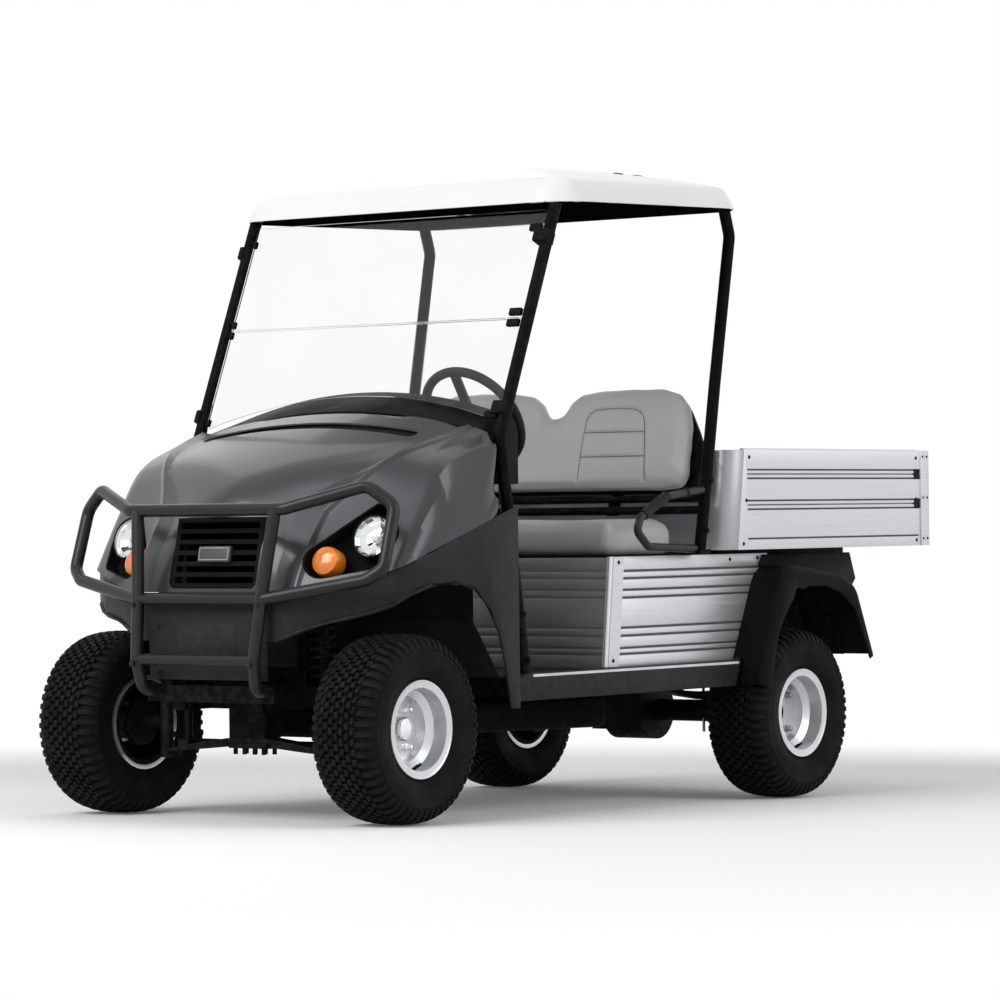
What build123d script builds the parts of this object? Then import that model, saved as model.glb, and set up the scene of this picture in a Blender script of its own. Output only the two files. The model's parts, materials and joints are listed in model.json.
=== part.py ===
"""Open utility vehicle: bench seat, canopy, ribbed dump bed and tailgate.

Millimetres. +X is the vehicle's left side, the front faces -Y, +Z is up.
Everything is drawn level in the body frame, whose y is 0 midway between the
axles, and is then set down nose-low on its four tyres. The nose is drawn about
the front axle and the tail about the rear one, and the cab spans between them.
"""
import os
from math import cos, radians, sin, sqrt

from build123d import *

os.makedirs("parts", exist_ok=True)

# Stance
WHEELBASE = 1981.0
FRONT_TRACK = 1072.0
REAR_TRACK = 1122.0
RAKE = 1.17            # degrees the body stands nose-down
RAKE_Z = 400.0         # height of the rake's pivot
SHIFT_Y = -285.0       # brings the middle of the overall length to the origin
NOSE_AXLE_Y = -992.8   # where the front axle is in the nose's drawing
TAIL_AXLE_Y = 987.8    # where the rear axle is in the tail's drawing

# Wheels
TYRE_R = 279.0
TYRE_HALF = 115.0
TYRE_WALL = 14.0
RIM_R = 143.0
RIM_HALF = 97.0
BEAD_R = 127.0         # bead seat
BEAD_X = 89.0         # flange face that the bead sits against
DROP_R = 104.0         # drop centre
DISC_X, DISC_T = -7.0, 6.0   # wheel disc, outboard of the tyre's middle
BOLT_CIRCLE_R, BOLT_R = 78.0, 9.0
HUB_IN = 66.0          # front hub's inner face, inboard of the tyre's middle

# Body widths
BODY_HALF = 626.0      # front fenders
SILL_X = BODY_HALF - 34
SILL_IN = SILL_X - 27
PANEL_X = BODY_HALF - 66     # ribbed side panels
PANEL_T = 8.0
STRUT_X = BODY_HALF - 28
STAY_X = PANEL_X + 51
FENDER_X = PANEL_X + 130
ROOF_HALF = BODY_HALF + 29

# Frame and running gear
KINGPIN_X = FRONT_TRACK / 2 - 184
KINGPIN_R = 20.0
KINGPIN_LOW, KINGPIN_TOP = 214.0, 398.0
TOWER_X = KINGPIN_X - 122    # outer face of the damper towers
DAMPER_X = KINGPIN_X - 87
RAIL_OUT = KINGPIN_X - 177
RAIL_IN = RAIL_OUT - 50
RAIL_LOW, RAIL_TOP = 350.0, 430.0
REAR_RAIL_LOW, REAR_RAIL_TOP = 430.0, 510.0
SPRING_X, SPRING_HALF = REAR_TRACK / 2 - 261, 22.0
AXLE_R = 36.0
ARM_BACK = 115.0       # steering arm, behind the kingpin
TIE_Z = 236.0

# Cab
SILL_LOW, SILL_TOP = 357.0, 440.0
FLOOR_Z, FLOOR_T = 430.0, 6.0
DECK_Z = 780.0         # seat deck
COWL_Y = -600.0        # rear edge of the hood
DASH_Y = -430.0        # dash face
WHEEL_AT = (293.0, -285.0, 1216.0)
WHEEL_TILT = 33.0      # steering column above the horizontal
WHEEL_R, GRIP_R = 183.0, 15.0

# Canopy
STRUT_R = 19.0
ROOF_FRONT_Y, ROOF_REAR_Y = -300.0, 705.0
ROOF_Z = 1880.0
ROOF_PITCH = 1.4
ROOF_H = 150.0
ROOF_WALL = 9.0
ROOF_CORNER = 110.0
ROOF_DRAFT = 24.0
GLASS_T = 5.0

GAP = 0.3              # what sits close without touching
FAR = 3000.0           # beyond the vehicle on any side

# Bed
BED_HALF = 632.0
BED_FRONT, BED_REAR = 596.0, 1834.0
BED_LOW, BED_TOP = 796.0, 1118.0
BED_WALL = 34.0
BED_LEAN = 0.132       # the bed's front leans back by this slope
HINGE_Y, HINGE_Z, HINGE_R = 1450.0, 765.0, 12.0
GATE_HALF = BED_HALF - 41
GATE_HINGE_Y, GATE_HINGE_Z = 1822.0, 818.0
GATE_PIN_R = 6.0
GATE_LOW = 812.0
HITCH_Y, HITCH_R = 1518.0, 9.5

K = radians(RAKE)


def level(y, z):
    """A point of the side view on the ground frame, in the body frame."""
    return (y * cos(K) + (z - RAKE_Z) * sin(K),
            RAKE_Z - y * sin(K) + (z - RAKE_Z) * cos(K))


FRONT_Y, FRONT_Z = level(-WHEELBASE / 2, TYRE_R)
REAR_Y, REAR_Z = level(WHEELBASE / 2, TYRE_R)
NOSE = FRONT_Y - NOSE_AXLE_Y
TAIL = REAR_Y - TAIL_AXLE_Y
PLACE = (Location((0, SHIFT_Y, RAKE_Z)) * Rotation(RAKE, 0, 0)
         * Location((0, 0, -RAKE_Z)))

nodes = {}


def add(name, *solids, at=0.0):
    """Puts solids in a node, moved along the body by at."""
    nodes.setdefault(name, []).extend(Pos(0, at, 0) * s for s in solids)


def box(x0, x1, y0, y1, z0, z1):
    return Pos((x0 + x1) / 2, (y0 + y1) / 2, (z0 + z1) / 2) * Box(
        x1 - x0, y1 - y0, z1 - z0)


def side(points, x0, x1):
    """An outline of the side view (y, z), drawn out from x0 to x1."""
    wire = Wire.make_polygon([(x0, y, z) for y, z in points], close=True)
    return Solid.extrude(Face(wire), Vector(x1 - x0, 0, 0))


def plan(points, z0, z1):
    """An outline of the plan (x, y), drawn up from z0 to z1."""
    wire = Wire.make_polygon([(x, y, z0) for x, y in points], close=True)
    return Solid.extrude(Face(wire), Vector(0, 0, z1 - z0))


def front(points, y0, y1):
    """An outline of the front view (x, z), drawn back from y0 to y1."""
    wire = Wire.make_polygon([(x, y0, z) for x, z in points], close=True)
    return Solid.extrude(Face(wire), Vector(0, y1 - y0, 0))


def rod(p, q, r):
    """A round bar from p to q."""
    p, q = Vector(*p), Vector(*q)
    return Solid.make_cylinder(r, (q - p).length, Plane(p, z_dir=q - p))


def tube(points, r, bend):
    """A round tube along a bent line."""
    path = FilletPolyline(*points, radius=bend)
    start = Plane(path @ 0, z_dir=path % 0)
    return sweep(start * Circle(r), path=path)


def both(shape):
    """A piece and its mirror image."""
    return [shape, mirror(shape, Plane.YZ)]


def paired(points):
    """An outline's left half followed by its mirror image."""
    return list(points) + [(-x, y) for x, y in reversed(points)]


def turned(points, x, y, z):
    """A section (across, radius) turned about an axle along X."""
    wire = Wire.make_polygon([(x + a, y, z + r) for a, r in points], close=True)
    return Solid.revolve(Face(wire), 360, Axis((x, y, z), (1, 0, 0)))


# Frame rails with their kick-up over the rear axle
rail = side([(NOSE - 1165 + GAP, RAIL_LOW), (TAIL + 430, RAIL_LOW),
             (TAIL + 560, REAR_RAIL_LOW), (TAIL + 1470, REAR_RAIL_LOW),
             (TAIL + 1470, REAR_RAIL_TOP), (TAIL + 540, REAR_RAIL_TOP),
             (TAIL + 410, RAIL_TOP), (NOSE - 1165 + GAP, RAIL_TOP)], RAIL_IN, RAIL_OUT)
add("frame_rails", *both(rail))

# Cross-members between the rails, and outriggers out to the sills
BETWEEN = (
    # datum, y0, y1, z0, z1
    (NOSE, -640, -590, 360, 420),
    (NOSE, -430, -370, 370, 430),
    (TAIL, 60, 110, 370, 430),
    (TAIL, 470, 520, 400, 460),
)
for datum, y0, y1, z0, z1 in BETWEEN:
    add("frame_crossmembers", box(GAP - RAIL_IN, RAIL_IN - GAP, y0, y1, z0, z1), at=datum)
OUTRIGGERS = (
    # datum, inner, outer, y0, y1, z0, z1
    (NOSE, RAIL_OUT + GAP, SILL_IN - GAP, -430, -370, 370, 430),
    (TAIL, RAIL_OUT + GAP, SILL_IN - GAP, 60, 110, 370, 430),
    (TAIL, RAIL_OUT + GAP, SILL_IN - 15, 650, 680, 430, 500),
    (TAIL, SILL_IN - 35, SILL_IN - GAP, 650, 680, 370, 430 - GAP),
    (TAIL, RAIL_OUT + GAP, SPRING_X + 72, 962, 1014, 450, 490),
)
for datum, inner, outer, y0, y1, z0, z1 in OUTRIGGERS:
    add("frame_crossmembers", *both(box(inner, outer, y0, y1, z0, z1)), at=datum)
for y in (600, 1330):
    hanger = box(RAIL_OUT + GAP, SPRING_X + 30, y, y + 40, 440, 480)
    hanger += box(SPRING_X - SPRING_HALF, SPRING_X + SPRING_HALF, y, y + 40, 372, 445)
    add("frame_crossmembers", *both(hanger), at=TAIL)
add("frame_crossmembers", box(-245, 245, -1195, -1165, 375, 425), at=NOSE)
add("frame_crossmembers", *both(box(150, 190, -1196 + GAP, -1170, 425 + GAP, 630)), at=NOSE)
hitch = box(GAP - RAIL_IN, RAIL_IN - GAP, 1420, 1470, 440, 500)
hitch += box(-50, 50, 1460, 1545, 440, 452)
hitch -= rod((0, HITCH_Y, 430), (0, HITCH_Y, 460), HITCH_R)
add("frame_crossmembers", hitch, at=TAIL)

# Posts that carry the bed and its hinge
fore_post = box(RAIL_IN, RAIL_OUT, 645, 685, REAR_RAIL_TOP + GAP, 735 - GAP)
hinge_post = box(RAIL_IN, RAIL_OUT, 1430, 1470, REAR_RAIL_TOP + GAP, HINGE_Z)
hinge_post += rod((RAIL_IN, HINGE_Y, HINGE_Z), (RAIL_OUT, HINGE_Y, HINGE_Z), 20)
hinge_post += rod((RAIL_OUT - 5, HINGE_Y, HINGE_Z), (RAIL_OUT + 21, HINGE_Y, HINGE_Z), HINGE_R)
add("bed_supports", *both(fore_post), *both(hinge_post), at=TAIL)
add("bed_supports", box(-430, 430, 640, 690, 735, 790), at=TAIL)
add("bed_supports", box(-500, 500, 1470 + GAP, 1480, 555, 615), at=TAIL)

# Front suspension
cross = box(GAP - RAIL_IN, RAIL_IN - GAP, FRONT_Y - 57, FRONT_Y + 57, RAIL_LOW, RAIL_TOP + GAP)
cross += box(-70, 70, FRONT_Y - 37, FRONT_Y + 37, 262 + GAP, RAIL_LOW)
cross += box(-TOWER_X, TOWER_X, FRONT_Y - 57, FRONT_Y + 57, RAIL_TOP + GAP, 470)
for s in (-1, 1):
    a, b = sorted((s * (TOWER_X - 40), s * TOWER_X))
    cross += box(a, b, FRONT_Y - 27, FRONT_Y + 27, 470, 650)
    a, b = sorted((s * (TOWER_X - 40), s * (DAMPER_X + 27)))
    cross += box(a, b, FRONT_Y - 27, FRONT_Y + 27, 640, 652)
add("front_crossmember", cross)

LEAF = (
    # x, underside, top
    (KINGPIN_X - 22, KINGPIN_LOW, KINGPIN_LOW + 9),
    (0.51 * KINGPIN_X, 226, 248),
    (0.2 * KINGPIN_X, 236, 262),
)
under = [(x, z) for x, z, _ in LEAF]
over = [(x, z) for x, _, z in LEAF]
leaf = front(over + [(-x, z) for x, z in reversed(over)] + [(-x, z) for x, z in under]
             + list(reversed(under)), FRONT_Y - 30, FRONT_Y + 30)
for s in (-1, 1):
    a, b = sorted((s * (DAMPER_X - 20), s * (DAMPER_X + 20)))
    leaf += box(a, b, FRONT_Y - 25, FRONT_Y + 25, 228, 252)
    a, b = sorted((s * (KINGPIN_X - 42), s * KINGPIN_X))
    leaf += box(a, b, FRONT_Y - 20, FRONT_Y + 20, 195, KINGPIN_LOW)
    a, b = sorted((s * (KINGPIN_X - 42), s * (KINGPIN_X - 21)))
    leaf += box(a, b, FRONT_Y - 20, FRONT_Y + 20, 195, 220)
    leaf += rod((s * KINGPIN_X, FRONT_Y, 195), (s * KINGPIN_X, FRONT_Y, KINGPIN_LOW), KINGPIN_R)
add("front_leaf_spring", leaf)

ARM_TOP = KINGPIN_TOP + 20
arm = box(TOWER_X + GAP, TOWER_X + 10, FRONT_Y - 50, FRONT_Y + 50, KINGPIN_TOP, 465)
for y in (FRONT_Y - 45, FRONT_Y + 27):
    arm += box(TOWER_X + GAP, KINGPIN_X, y, y + 18, KINGPIN_TOP, ARM_TOP)
arm += box(KINGPIN_X - 36, KINGPIN_X, FRONT_Y - 45, FRONT_Y + 45, KINGPIN_TOP, ARM_TOP)
arm += rod((KINGPIN_X, FRONT_Y, KINGPIN_TOP), (KINGPIN_X, FRONT_Y, ARM_TOP), KINGPIN_R + 6)
add("control_arms", *both(arm))

for x, y, low, top in ((DAMPER_X, FRONT_Y, 252, 640),
                       (SPRING_X + 48, REAR_Y, REAR_Z + AXLE_R, 450)):
    mid = (low + top) / 2
    damper = rod((x, y, low), (x, y, mid), 13) + rod((x, y, mid), (x, y, top - GAP), 20)
    add("dampers", *both(damper))

# Rear axle and springs
FLANGE_X = REAR_TRACK / 2 - 131
axle = rod((-FLANGE_X, REAR_Y, REAR_Z), (FLANGE_X, REAR_Y, REAR_Z), AXLE_R)
axle += rod((-80, REAR_Y, REAR_Z), (80, REAR_Y, REAR_Z), 98)
axle += box(-100, 100, REAR_Y - 126, REAR_Y, REAR_Z - 62, REAR_Z + 82)
for s in (-1, 1):
    axle += rod((s * (FLANGE_X - 18), REAR_Y, REAR_Z), (s * FLANGE_X, REAR_Y, REAR_Z), 88)
    a, b = sorted((s * (SPRING_X - SPRING_HALF), s * (SPRING_X + SPRING_HALF)))
    axle += box(a, b, REAR_Y - 30, REAR_Y + 30, REAR_Z, REAR_Z + 40)
add("rear_axle", axle)
spring = side([(600, 358), (800, 316), (TAIL_AXLE_Y - 60, REAR_Z + 40),
               (TAIL_AXLE_Y + 60, REAR_Z + 40), (1180, 316), (1370, 358), (1370, 372),
               (1330, 372), (1180, 334), (TAIL_AXLE_Y + 60, REAR_Z + 66),
               (TAIL_AXLE_Y - 60, REAR_Z + 66), (800, 334), (640, 372), (600, 372)],
              SPRING_X - SPRING_HALF, SPRING_X + SPRING_HALF)
add("rear_leaf_springs", *both(spring), at=TAIL)

# Engine, a plain block at its place
ENGINE_HALF = RAIL_IN - 5
engine = box(5 - RAIL_IN, RAIL_IN - 5, 560, 855, 320, REAR_RAIL_TOP + 5)
engine += box(-ENGINE_HALF, ENGINE_HALF, 560, 855, REAR_RAIL_TOP + GAP, 690)
engine += box(-RAIL_OUT, RAIL_OUT, 700, 780, REAR_RAIL_TOP + GAP, REAR_RAIL_TOP + 14)
add("engine_block", engine, at=TAIL)


# Hood and fenders
def hood_section(y, half, crown, drop, r, low):
    """Left half of a cross-section: floor, side, shoulder arc and crown arc."""
    big = (half ** 2 + drop ** 2) / (2 * drop)
    zf = crown - big + sqrt((big - r) ** 2 - (half - r) ** 2)
    k = big / (big - r)
    tx, tz = k * (half - r), crown - big + k * (zf - crown + big)
    mid = (half - r + r * cos(radians(45)), zf + r * sin(radians(45)))
    edges = [
        Line((0, y, low), (half, y, low)),
        Line((half, y, low), (half, y, zf)),
        ThreePointArc((half, y, zf), (mid[0], y, mid[1]), (tx, y, tz)),
        ThreePointArc((tx, y, tz),
                      (tx / 2, y, crown - big + sqrt(big ** 2 - (tx / 2) ** 2)),
                      (0, y, crown)),
        Line((0, y, crown), (0, y, low)),
    ]
    return Face(Wire([e.edge() for e in edges]))


HOOD = (
    # y, half-width, crown, edge drop, shoulder
    (-1230, BODY_HALF - 41, 900, 60, 70),
    (-1050, BODY_HALF - 18, 1040, 75, 80),
    (-820, BODY_HALF - 4, 1160, 80, 80),
    (COWL_Y, BODY_HALF, 1237, 78, 60),
)
HOOD_WALL = 5.0
GRILLE_P = (0, -1162, 812)
GRILLE_N = (0, -0.979, 0.203)
LAMP_P = (BODY_HALF - 281, -1200, 670)
LAMP_N = (0.311, -0.798, 0.516)


def beyond(p, n, inset):
    """Everything outside the plane through p with outward normal n."""
    p, n = Vector(*p), Vector(*n).normalized()
    block = Pos(0, 0, FAR / 2) * Box(2 * FAR, 2 * FAR, FAR)
    return Plane(p - n * inset, z_dir=n) * block


def hood(inset, low):
    """The hood's outer form, moved in by a wall's thickness."""
    faces = [hood_section(y, half - inset, crown - inset, drop, r - inset / 2, low)
             for y, half, crown, drop, r in HOOD]
    half = Solid.make_loft([f.outer_wire() for f in faces])
    form = half + mirror(half, Plane.YZ)
    form -= beyond(GRILLE_P, GRILLE_N, inset)
    form -= beyond(LAMP_P, LAMP_N, inset)
    form -= beyond((-LAMP_P[0],) + LAMP_P[1:], (-LAMP_N[0],) + LAMP_N[1:], inset)
    return form


# The hood's middle stands proud between two creases, ahead of a cross groove
PANEL_RISE = 7.0
CREASE = ((BODY_HALF - 326, -1110), (BODY_HALF - 213, -960), (BODY_HALF - 146, -742))
BAND = ((-1400, 690), (-1180, 700), (-1000, 785), (-690, 888), (-500, 948))
below_band = side(list(BAND) + [(-500, 0), (-1400, 0)], -FAR, FAR)
outer = hood(0, 400)
outer += hood(-PANEL_RISE, 400) & plan(paired(CREASE), 900, 1400)
front_body = outer - hood(HOOD_WALL, 380)
front_body -= below_band
GRILLE_HALF, GRILLE_LOW, GRILLE_TOP = 168.0, 712.0, 920.0
front_body -= box(-GRILLE_HALF, GRILLE_HALF, -1260, -1080, GRILLE_LOW, GRILLE_TOP)
front_body -= box(6 - BODY_HALF, BODY_HALF - 6, COWL_Y - 8, COWL_Y + 8, 300, 1140)

# Lamps sit in dark teardrop pods of the nose
LAMPS = (
    # name, x, z, radius, pod radius
    ("headlamps", BODY_HALF - 148, 862, 66, 82),
    ("amber_lamps", BODY_HALF - 254, 792, 46, 60),
)
LAMP_DIR = Vector(0.12, -0.95, 0.29).normalized()
POD_RIM, POD_DEPTH, POD_BACK = 8.0, 14.0, 40.0


def lamp_at(x, z):
    """The point of the lamp plane at x, z."""
    y = LAMP_P[1] - (LAMP_N[0] * (x - LAMP_P[0]) + LAMP_N[2] * (z - LAMP_P[2])) / LAMP_N[1]
    return Vector(x, y, z)


pod_plane = Plane(lamp_at(LAMPS[0][1], LAMPS[0][2]), z_dir=LAMP_DIR)


def pod(grow):
    """A long bar whose section wraps both lamps, grown by a margin."""
    rings = []
    for _, x, z, _, rim in LAMPS:
        c = pod_plane.to_local_coords(lamp_at(x, z))
        rings.append(Pos(c.X, c.Y) * Circle(rim + grow))
    section = make_hull(rings[0].edges() + rings[1].edges())
    return pod_plane * (Pos(0, 0, -200) * extrude(section, amount=400))


bezel = pod(0) - beyond(LAMP_P, LAMP_N, -6)
bezel &= beyond(LAMP_P, LAMP_N, POD_BACK)
bezel -= pod(-POD_RIM) & beyond(LAMP_P, LAMP_N, POD_DEPTH)
for name, x, z, r, _ in LAMPS:
    foot = Plane(lamp_at(x, z) - LAMP_DIR * (POD_BACK + 20), z_dir=LAMP_DIR)
    bezel -= Solid.make_cylinder(r + GAP, 150, foot)
    seat = Plane(lamp_at(x, z) - LAMP_DIR * 28, z_dir=LAMP_DIR)
    add(name, *both(Solid.make_cylinder(r, 26, seat)), at=NOSE)
for part in both(pod(GAP)):
    front_body -= part
add("lamp_bezels", *both(bezel), at=NOSE)
add("front_body", front_body, at=NOSE)

# Grille of level slats in its opening
GRILLE_BARS, GRILLE_FRAME, GRILLE_BAR_H = 7, 15.0, 14.0
low, top = GRILLE_LOW + GAP, GRILLE_TOP - GAP
slats = None
for s in (-1, 1):
    a, b = sorted((s * (GRILLE_HALF - GAP), s * (GRILLE_HALF - GRILLE_FRAME)))
    cheek = box(a, b, -1250, -1080, low, top)
    slats = cheek if slats is None else slats + cheek
for i in range(GRILLE_BARS):
    z = low + i * (top - low - GRILLE_BAR_H) / (GRILLE_BARS - 1)
    slats += box(-160, 160, -1250, -1080, z, z + GRILLE_BAR_H)
slats -= beyond(GRILLE_P, GRILLE_N, 4)
slats &= beyond(GRILLE_P, GRILLE_N, 34)
add("grille", slats, at=NOSE)

# Lower fascia with the wheel arches
FASCIA_WALL = 6.0
FASCIA = ((BODY_HALF - 356, -1205), (BODY_HALF - 236, -1145), (BODY_HALF - 126, -1100),
          (BODY_HALF - 36, -1025), (BODY_HALF, -930))


def fascia_form(inset):
    """The fascia's plan, moved in by a wall's thickness."""
    left = [(BODY_HALF - inset, -470)] + [(x - inset, y + inset) for x, y in reversed(FASCIA)]
    return plan(paired(left), 340, 1000)


ARCH = ((-1500, 545), (-1205, 556), (-1137, 613), (-1044, 659), (-983, 697), (-930, 715),
        (-820, 720), (-725, 701), (-661, 650), (-606, 570), (-575, 471), (-548, 340),
        (-1500, 340))
fascia = fascia_form(0) - fascia_form(FASCIA_WALL)
fascia -= side(list(BAND) + [(-400, 948), (-400, 1400), (-1400, 1400)], -FAR, FAR)
fascia -= side(list(ARCH), -FAR, FAR)
fascia -= box(-FAR, FAR, -505, -400, 300, 1400)
fascia += box(-228, 228, -1205, -1196, 442, 640)
fascia += box(-110, 110, -1208, -1204, 505, 610)
add("front_fascia", fascia, at=NOSE)

# Brush guard of bent tube
GUARD_R, GUARD_BAR_R = 19.0, 16.0
LOOP = (
    # share of the body's half-width, y, z
    (0.3834, -1240, 680), (0.8898, -1146, 735), (0.9617, -1120, 768),
    (0.9569, -1062, 948), (0.8275, -1088, 1007), (0.4776, -1205, 943),
)
UPRIGHT = (
    # share of the body's half-width, y, z
    (0.4281, -1206, 943), (0.3834, -1240, 680), (0.3642, -1262, 503),
    (0.3514, -1244, 412), (0.3514, -1195 - GAP, 412),
)
loop = [(w * BODY_HALF, y, z) for w, y, z in LOOP]
guard = tube(loop + [(-x, y, z) for x, y, z in reversed(loop)], GUARD_R, 42)
for s in (-1, 1):
    guard += tube([(s * w * BODY_HALF, y, z) for w, y, z in UPRIGHT], GUARD_R, 30)
for w, y, z in UPRIGHT[1:3]:
    guard += rod((-w * BODY_HALF, y, z), (w * BODY_HALF, y, z), GUARD_BAR_R)
add("brush_guard", guard, at=NOSE)

# Floor, firewall and sills
FLOOR_TOP = FLOOR_Z + FLOOR_T
FLOOR_HALF = PANEL_X - 5
FLOOR_BACK = TAIL + 30
add("floor_pan", side([(FLOOR_BACK, FLOOR_Z), (NOSE - 520, FLOOR_Z), (NOSE - 645, 600),
                       (NOSE - 645, 1100), (NOSE - 639, 1100), (NOSE - 639, 602),
                       (NOSE - 517, FLOOR_TOP), (FLOOR_BACK, FLOOR_TOP)],
                      -FLOOR_HALF, FLOOR_HALF))
SILL_FRONT = NOSE - 470
sill = side([(SILL_FRONT, SILL_LOW), (TAIL + 700, SILL_LOW), (TAIL + 735, SILL_TOP),
             (SILL_FRONT, SILL_TOP)], SILL_IN, SILL_X)
sill += box(SILL_IN - 9, SILL_IN + 5, SILL_FRONT, TAIL + 690, FLOOR_Z, SILL_TOP)
add("side_sills", *both(sill))

# Dashboard
DASH_HALF, DASH_LOW, DASH_WALL = BODY_HALF - 54, 1010.0, 6.0


def dash(inset, y0, y1):
    """The dash's outer form between two stations, moved in by a wall."""
    low = DASH_LOW - 5 * inset
    faces = [hood_section(y, DASH_HALF - inset, crown - inset, drop, 60, low)
             for y, crown, drop in ((y0, 1240, 75), (y1, 1302, 96))]
    half = Solid.make_loft([f.outer_wire() for f in faces])
    return half + mirror(half, Plane.YZ)


BINNACLE_HALF, BINNACLE_OUT = 90.0, 22.0
cowl = dash(0, COWL_Y + GAP, DASH_Y) - dash(DASH_WALL, COWL_Y - 4, DASH_Y - 7)
cowl += box(WHEEL_AT[0] - BINNACLE_HALF, WHEEL_AT[0] + BINNACLE_HALF, DASH_Y - 6,
            DASH_Y + BINNACLE_OUT, 1090, 1262)
add("dashboard", cowl, at=NOSE)

# Steering column and wheel
AXIS = Vector(0, cos(radians(WHEEL_TILT)), sin(radians(WHEEL_TILT)))
HUB = Vector(*WHEEL_AT)
reach = (WHEEL_AT[1] - DASH_Y) / AXIS.Y
column = Solid.make_cylinder(24, reach + 45 - GAP, Plane(HUB - AXIS * (reach + 64), z_dir=AXIS))
column -= box(0, FAR, DASH_Y - 200, DASH_Y + BINNACLE_OUT + GAP, 0, FAR)
add("steering_column", column, at=NOSE)
wheel_plane = Plane(HUB, x_dir=(1, 0, 0), z_dir=AXIS)
steering = wheel_plane * Torus(WHEEL_R - GRIP_R, GRIP_R)
steering += wheel_plane * (Pos(0, 0, -6) * Cylinder(42, 26))
for a in (-90, 0, 180):
    spoke = Pos(WHEEL_R / 2 - 8, 0, -4) * Box(WHEEL_R - 2 * GRIP_R, 32, 10)
    steering += wheel_plane * (Rot(0, 0, a) * spoke)
add("steering_wheel", steering, at=NOSE)

# Pedals on the firewall's slope
for x, w in ((190, 60), (330, 90)):
    pedal = side([(-585, 520), (-560, 548), (-480, 610), (-468, 600), (-556, 530),
                  (-560, 500)], x - w / 2, x + w / 2)
    pedal += side([(-600, 548), (-560, 548), (-548, 530), (-574, 515)], x - 8, x + 8)
    pedal -= side([(-800, 400), (-517 + GAP, FLOOR_TOP + GAP), (-639 + GAP, 602 + GAP),
                   (-639 + GAP, 900), (-800, 900)], x - w, x + w)
    add("pedals", pedal, at=NOSE)

# Seat box with ribbed aluminium panels
RIBS = (738, 715, 679, 655, 561, 536, 498, 479)
RIB_HALF, RIB_DEEP = 4.0, 3.0
panel = side([(32, SILL_TOP), (770, SILL_TOP), (938, 783), (68, 783)], PANEL_X - PANEL_T, PANEL_X)
for z in RIBS:
    panel -= box(PANEL_X - RIB_DEEP, PANEL_X + 1, 0, 960, z - RIB_HALF, z + RIB_HALF)
add("side_panels", *both(panel), at=TAIL)
INNER = PANEL_X - PANEL_T - GAP
FORE_LEAN = 39 / 344
fore = side([(22, FLOOR_TOP), (30, FLOOR_TOP), (69, DECK_Z), (61, DECK_Z)], -INNER, INNER)
for z in RIBS:
    y = 22 + (z - FLOOR_TOP) * FORE_LEAN
    fore -= box(-FAR, FAR, y - 10, y + RIB_DEEP, z - RIB_HALF, z + RIB_HALF)
fore += box(-INNER, INNER, 61, 600, DECK_Z - 6, DECK_Z)
add("seat_box", fore, at=TAIL)

# Bench with two backs on a tube frame
cushion = box(20 - PANEL_X, PANEL_X - 20, 85, 480, DECK_Z, 905)
cushion = fillet(cushion.edges().group_by(Axis.Z)[-1], 38)
add("seat_cushion", cushion, at=TAIL)
BACK_Z, BACK_T, BACK_LEAN = 985.0, 78.0, 13.0
BACK = ((PANEL_X - 2, 0), (PANEL_X - 2, 260), (PANEL_X - 80, 343), (190, 343), (75, 255))
lean = Plane((0, 452, BACK_Z), x_dir=(1, 0, 0),
             z_dir=(0, -cos(radians(BACK_LEAN)), sin(radians(BACK_LEAN))))
sketch = make_face(Polyline(*paired(BACK), close=True))
sketch = fillet(sketch.vertices(), 55)
add("seat_back", lean * extrude(sketch, amount=-BACK_T), at=TAIL)
RAIL_END = STAY_X - STRUT_R - GAP
bars = rod((-RAIL_END, 504, 964), (RAIL_END, 504, 964), 13)
bars += rod((-RAIL_END, 498, 926), (RAIL_END, 498, 926), 13)
for s in (-1, 1):
    a, b = sorted((s * 230, s * 270))
    bars += side([(498, 910), (512, 910), (624, 1240), (612, 1240)], a, b)
bars -= lean * (Pos(0, 349, -BACK_T / 2) * Box(2 * FAR, 700, BACK_T + 5 * GAP))
add("seat_frame", bars, at=TAIL)
HIP_X = STAY_X + 1
hip = tube([(HIP_X, 487, 990), (HIP_X, 285, 968), (HIP_X, 147, 903), (HIP_X, 127, 862),
            (HIP_X, 189, 812), (HIP_X, 444 - GAP, 803)], 13, 22)

# Canopy on four bent posts
ROOF_FRONT, ROOF_REAR = NOSE + ROOF_FRONT_Y, TAIL + ROOF_REAR_Y
roof_at = Location((0, (ROOF_FRONT + ROOF_REAR) / 2, ROOF_Z)) * Rotation(ROOF_PITCH, 0, 0)
over_liner = roof_at * (Pos(0, 0, FAR / 2 - GAP) * Box(2 * FAR, 2 * FAR, FAR))
post = tube([(STRUT_X, NOSE - 445, SILL_TOP), (STRUT_X, NOSE - 557, 1150),
             (STRUT_X, NOSE - 245, 1897)], STRUT_R, 60) - over_liner
post -= box(0, FAR, -FAR, FAR, 0, SILL_TOP)
add("canopy_struts", *both(post))
stay = tube([(STAY_X, TAIL + 474, 792), (STAY_X, TAIL + 570, 1330), (STAY_X, TAIL + 664, 1805),
             (STAY_X, TAIL + 622, 1930)], STRUT_R, 50) - over_liner
stay -= box(0, FAR, -FAR, FAR, 0, 794)
stay += box(PANEL_X - 7, STAY_X + 21, TAIL + 444, TAIL + 506, 783.5, 800)
add("canopy_struts", *both(stay))
hip = Pos(0, TAIL, 0) * hip - stay
add("hip_restraints", *both(hip.solids().sort_by(SortBy.VOLUME)[-1]))


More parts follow.
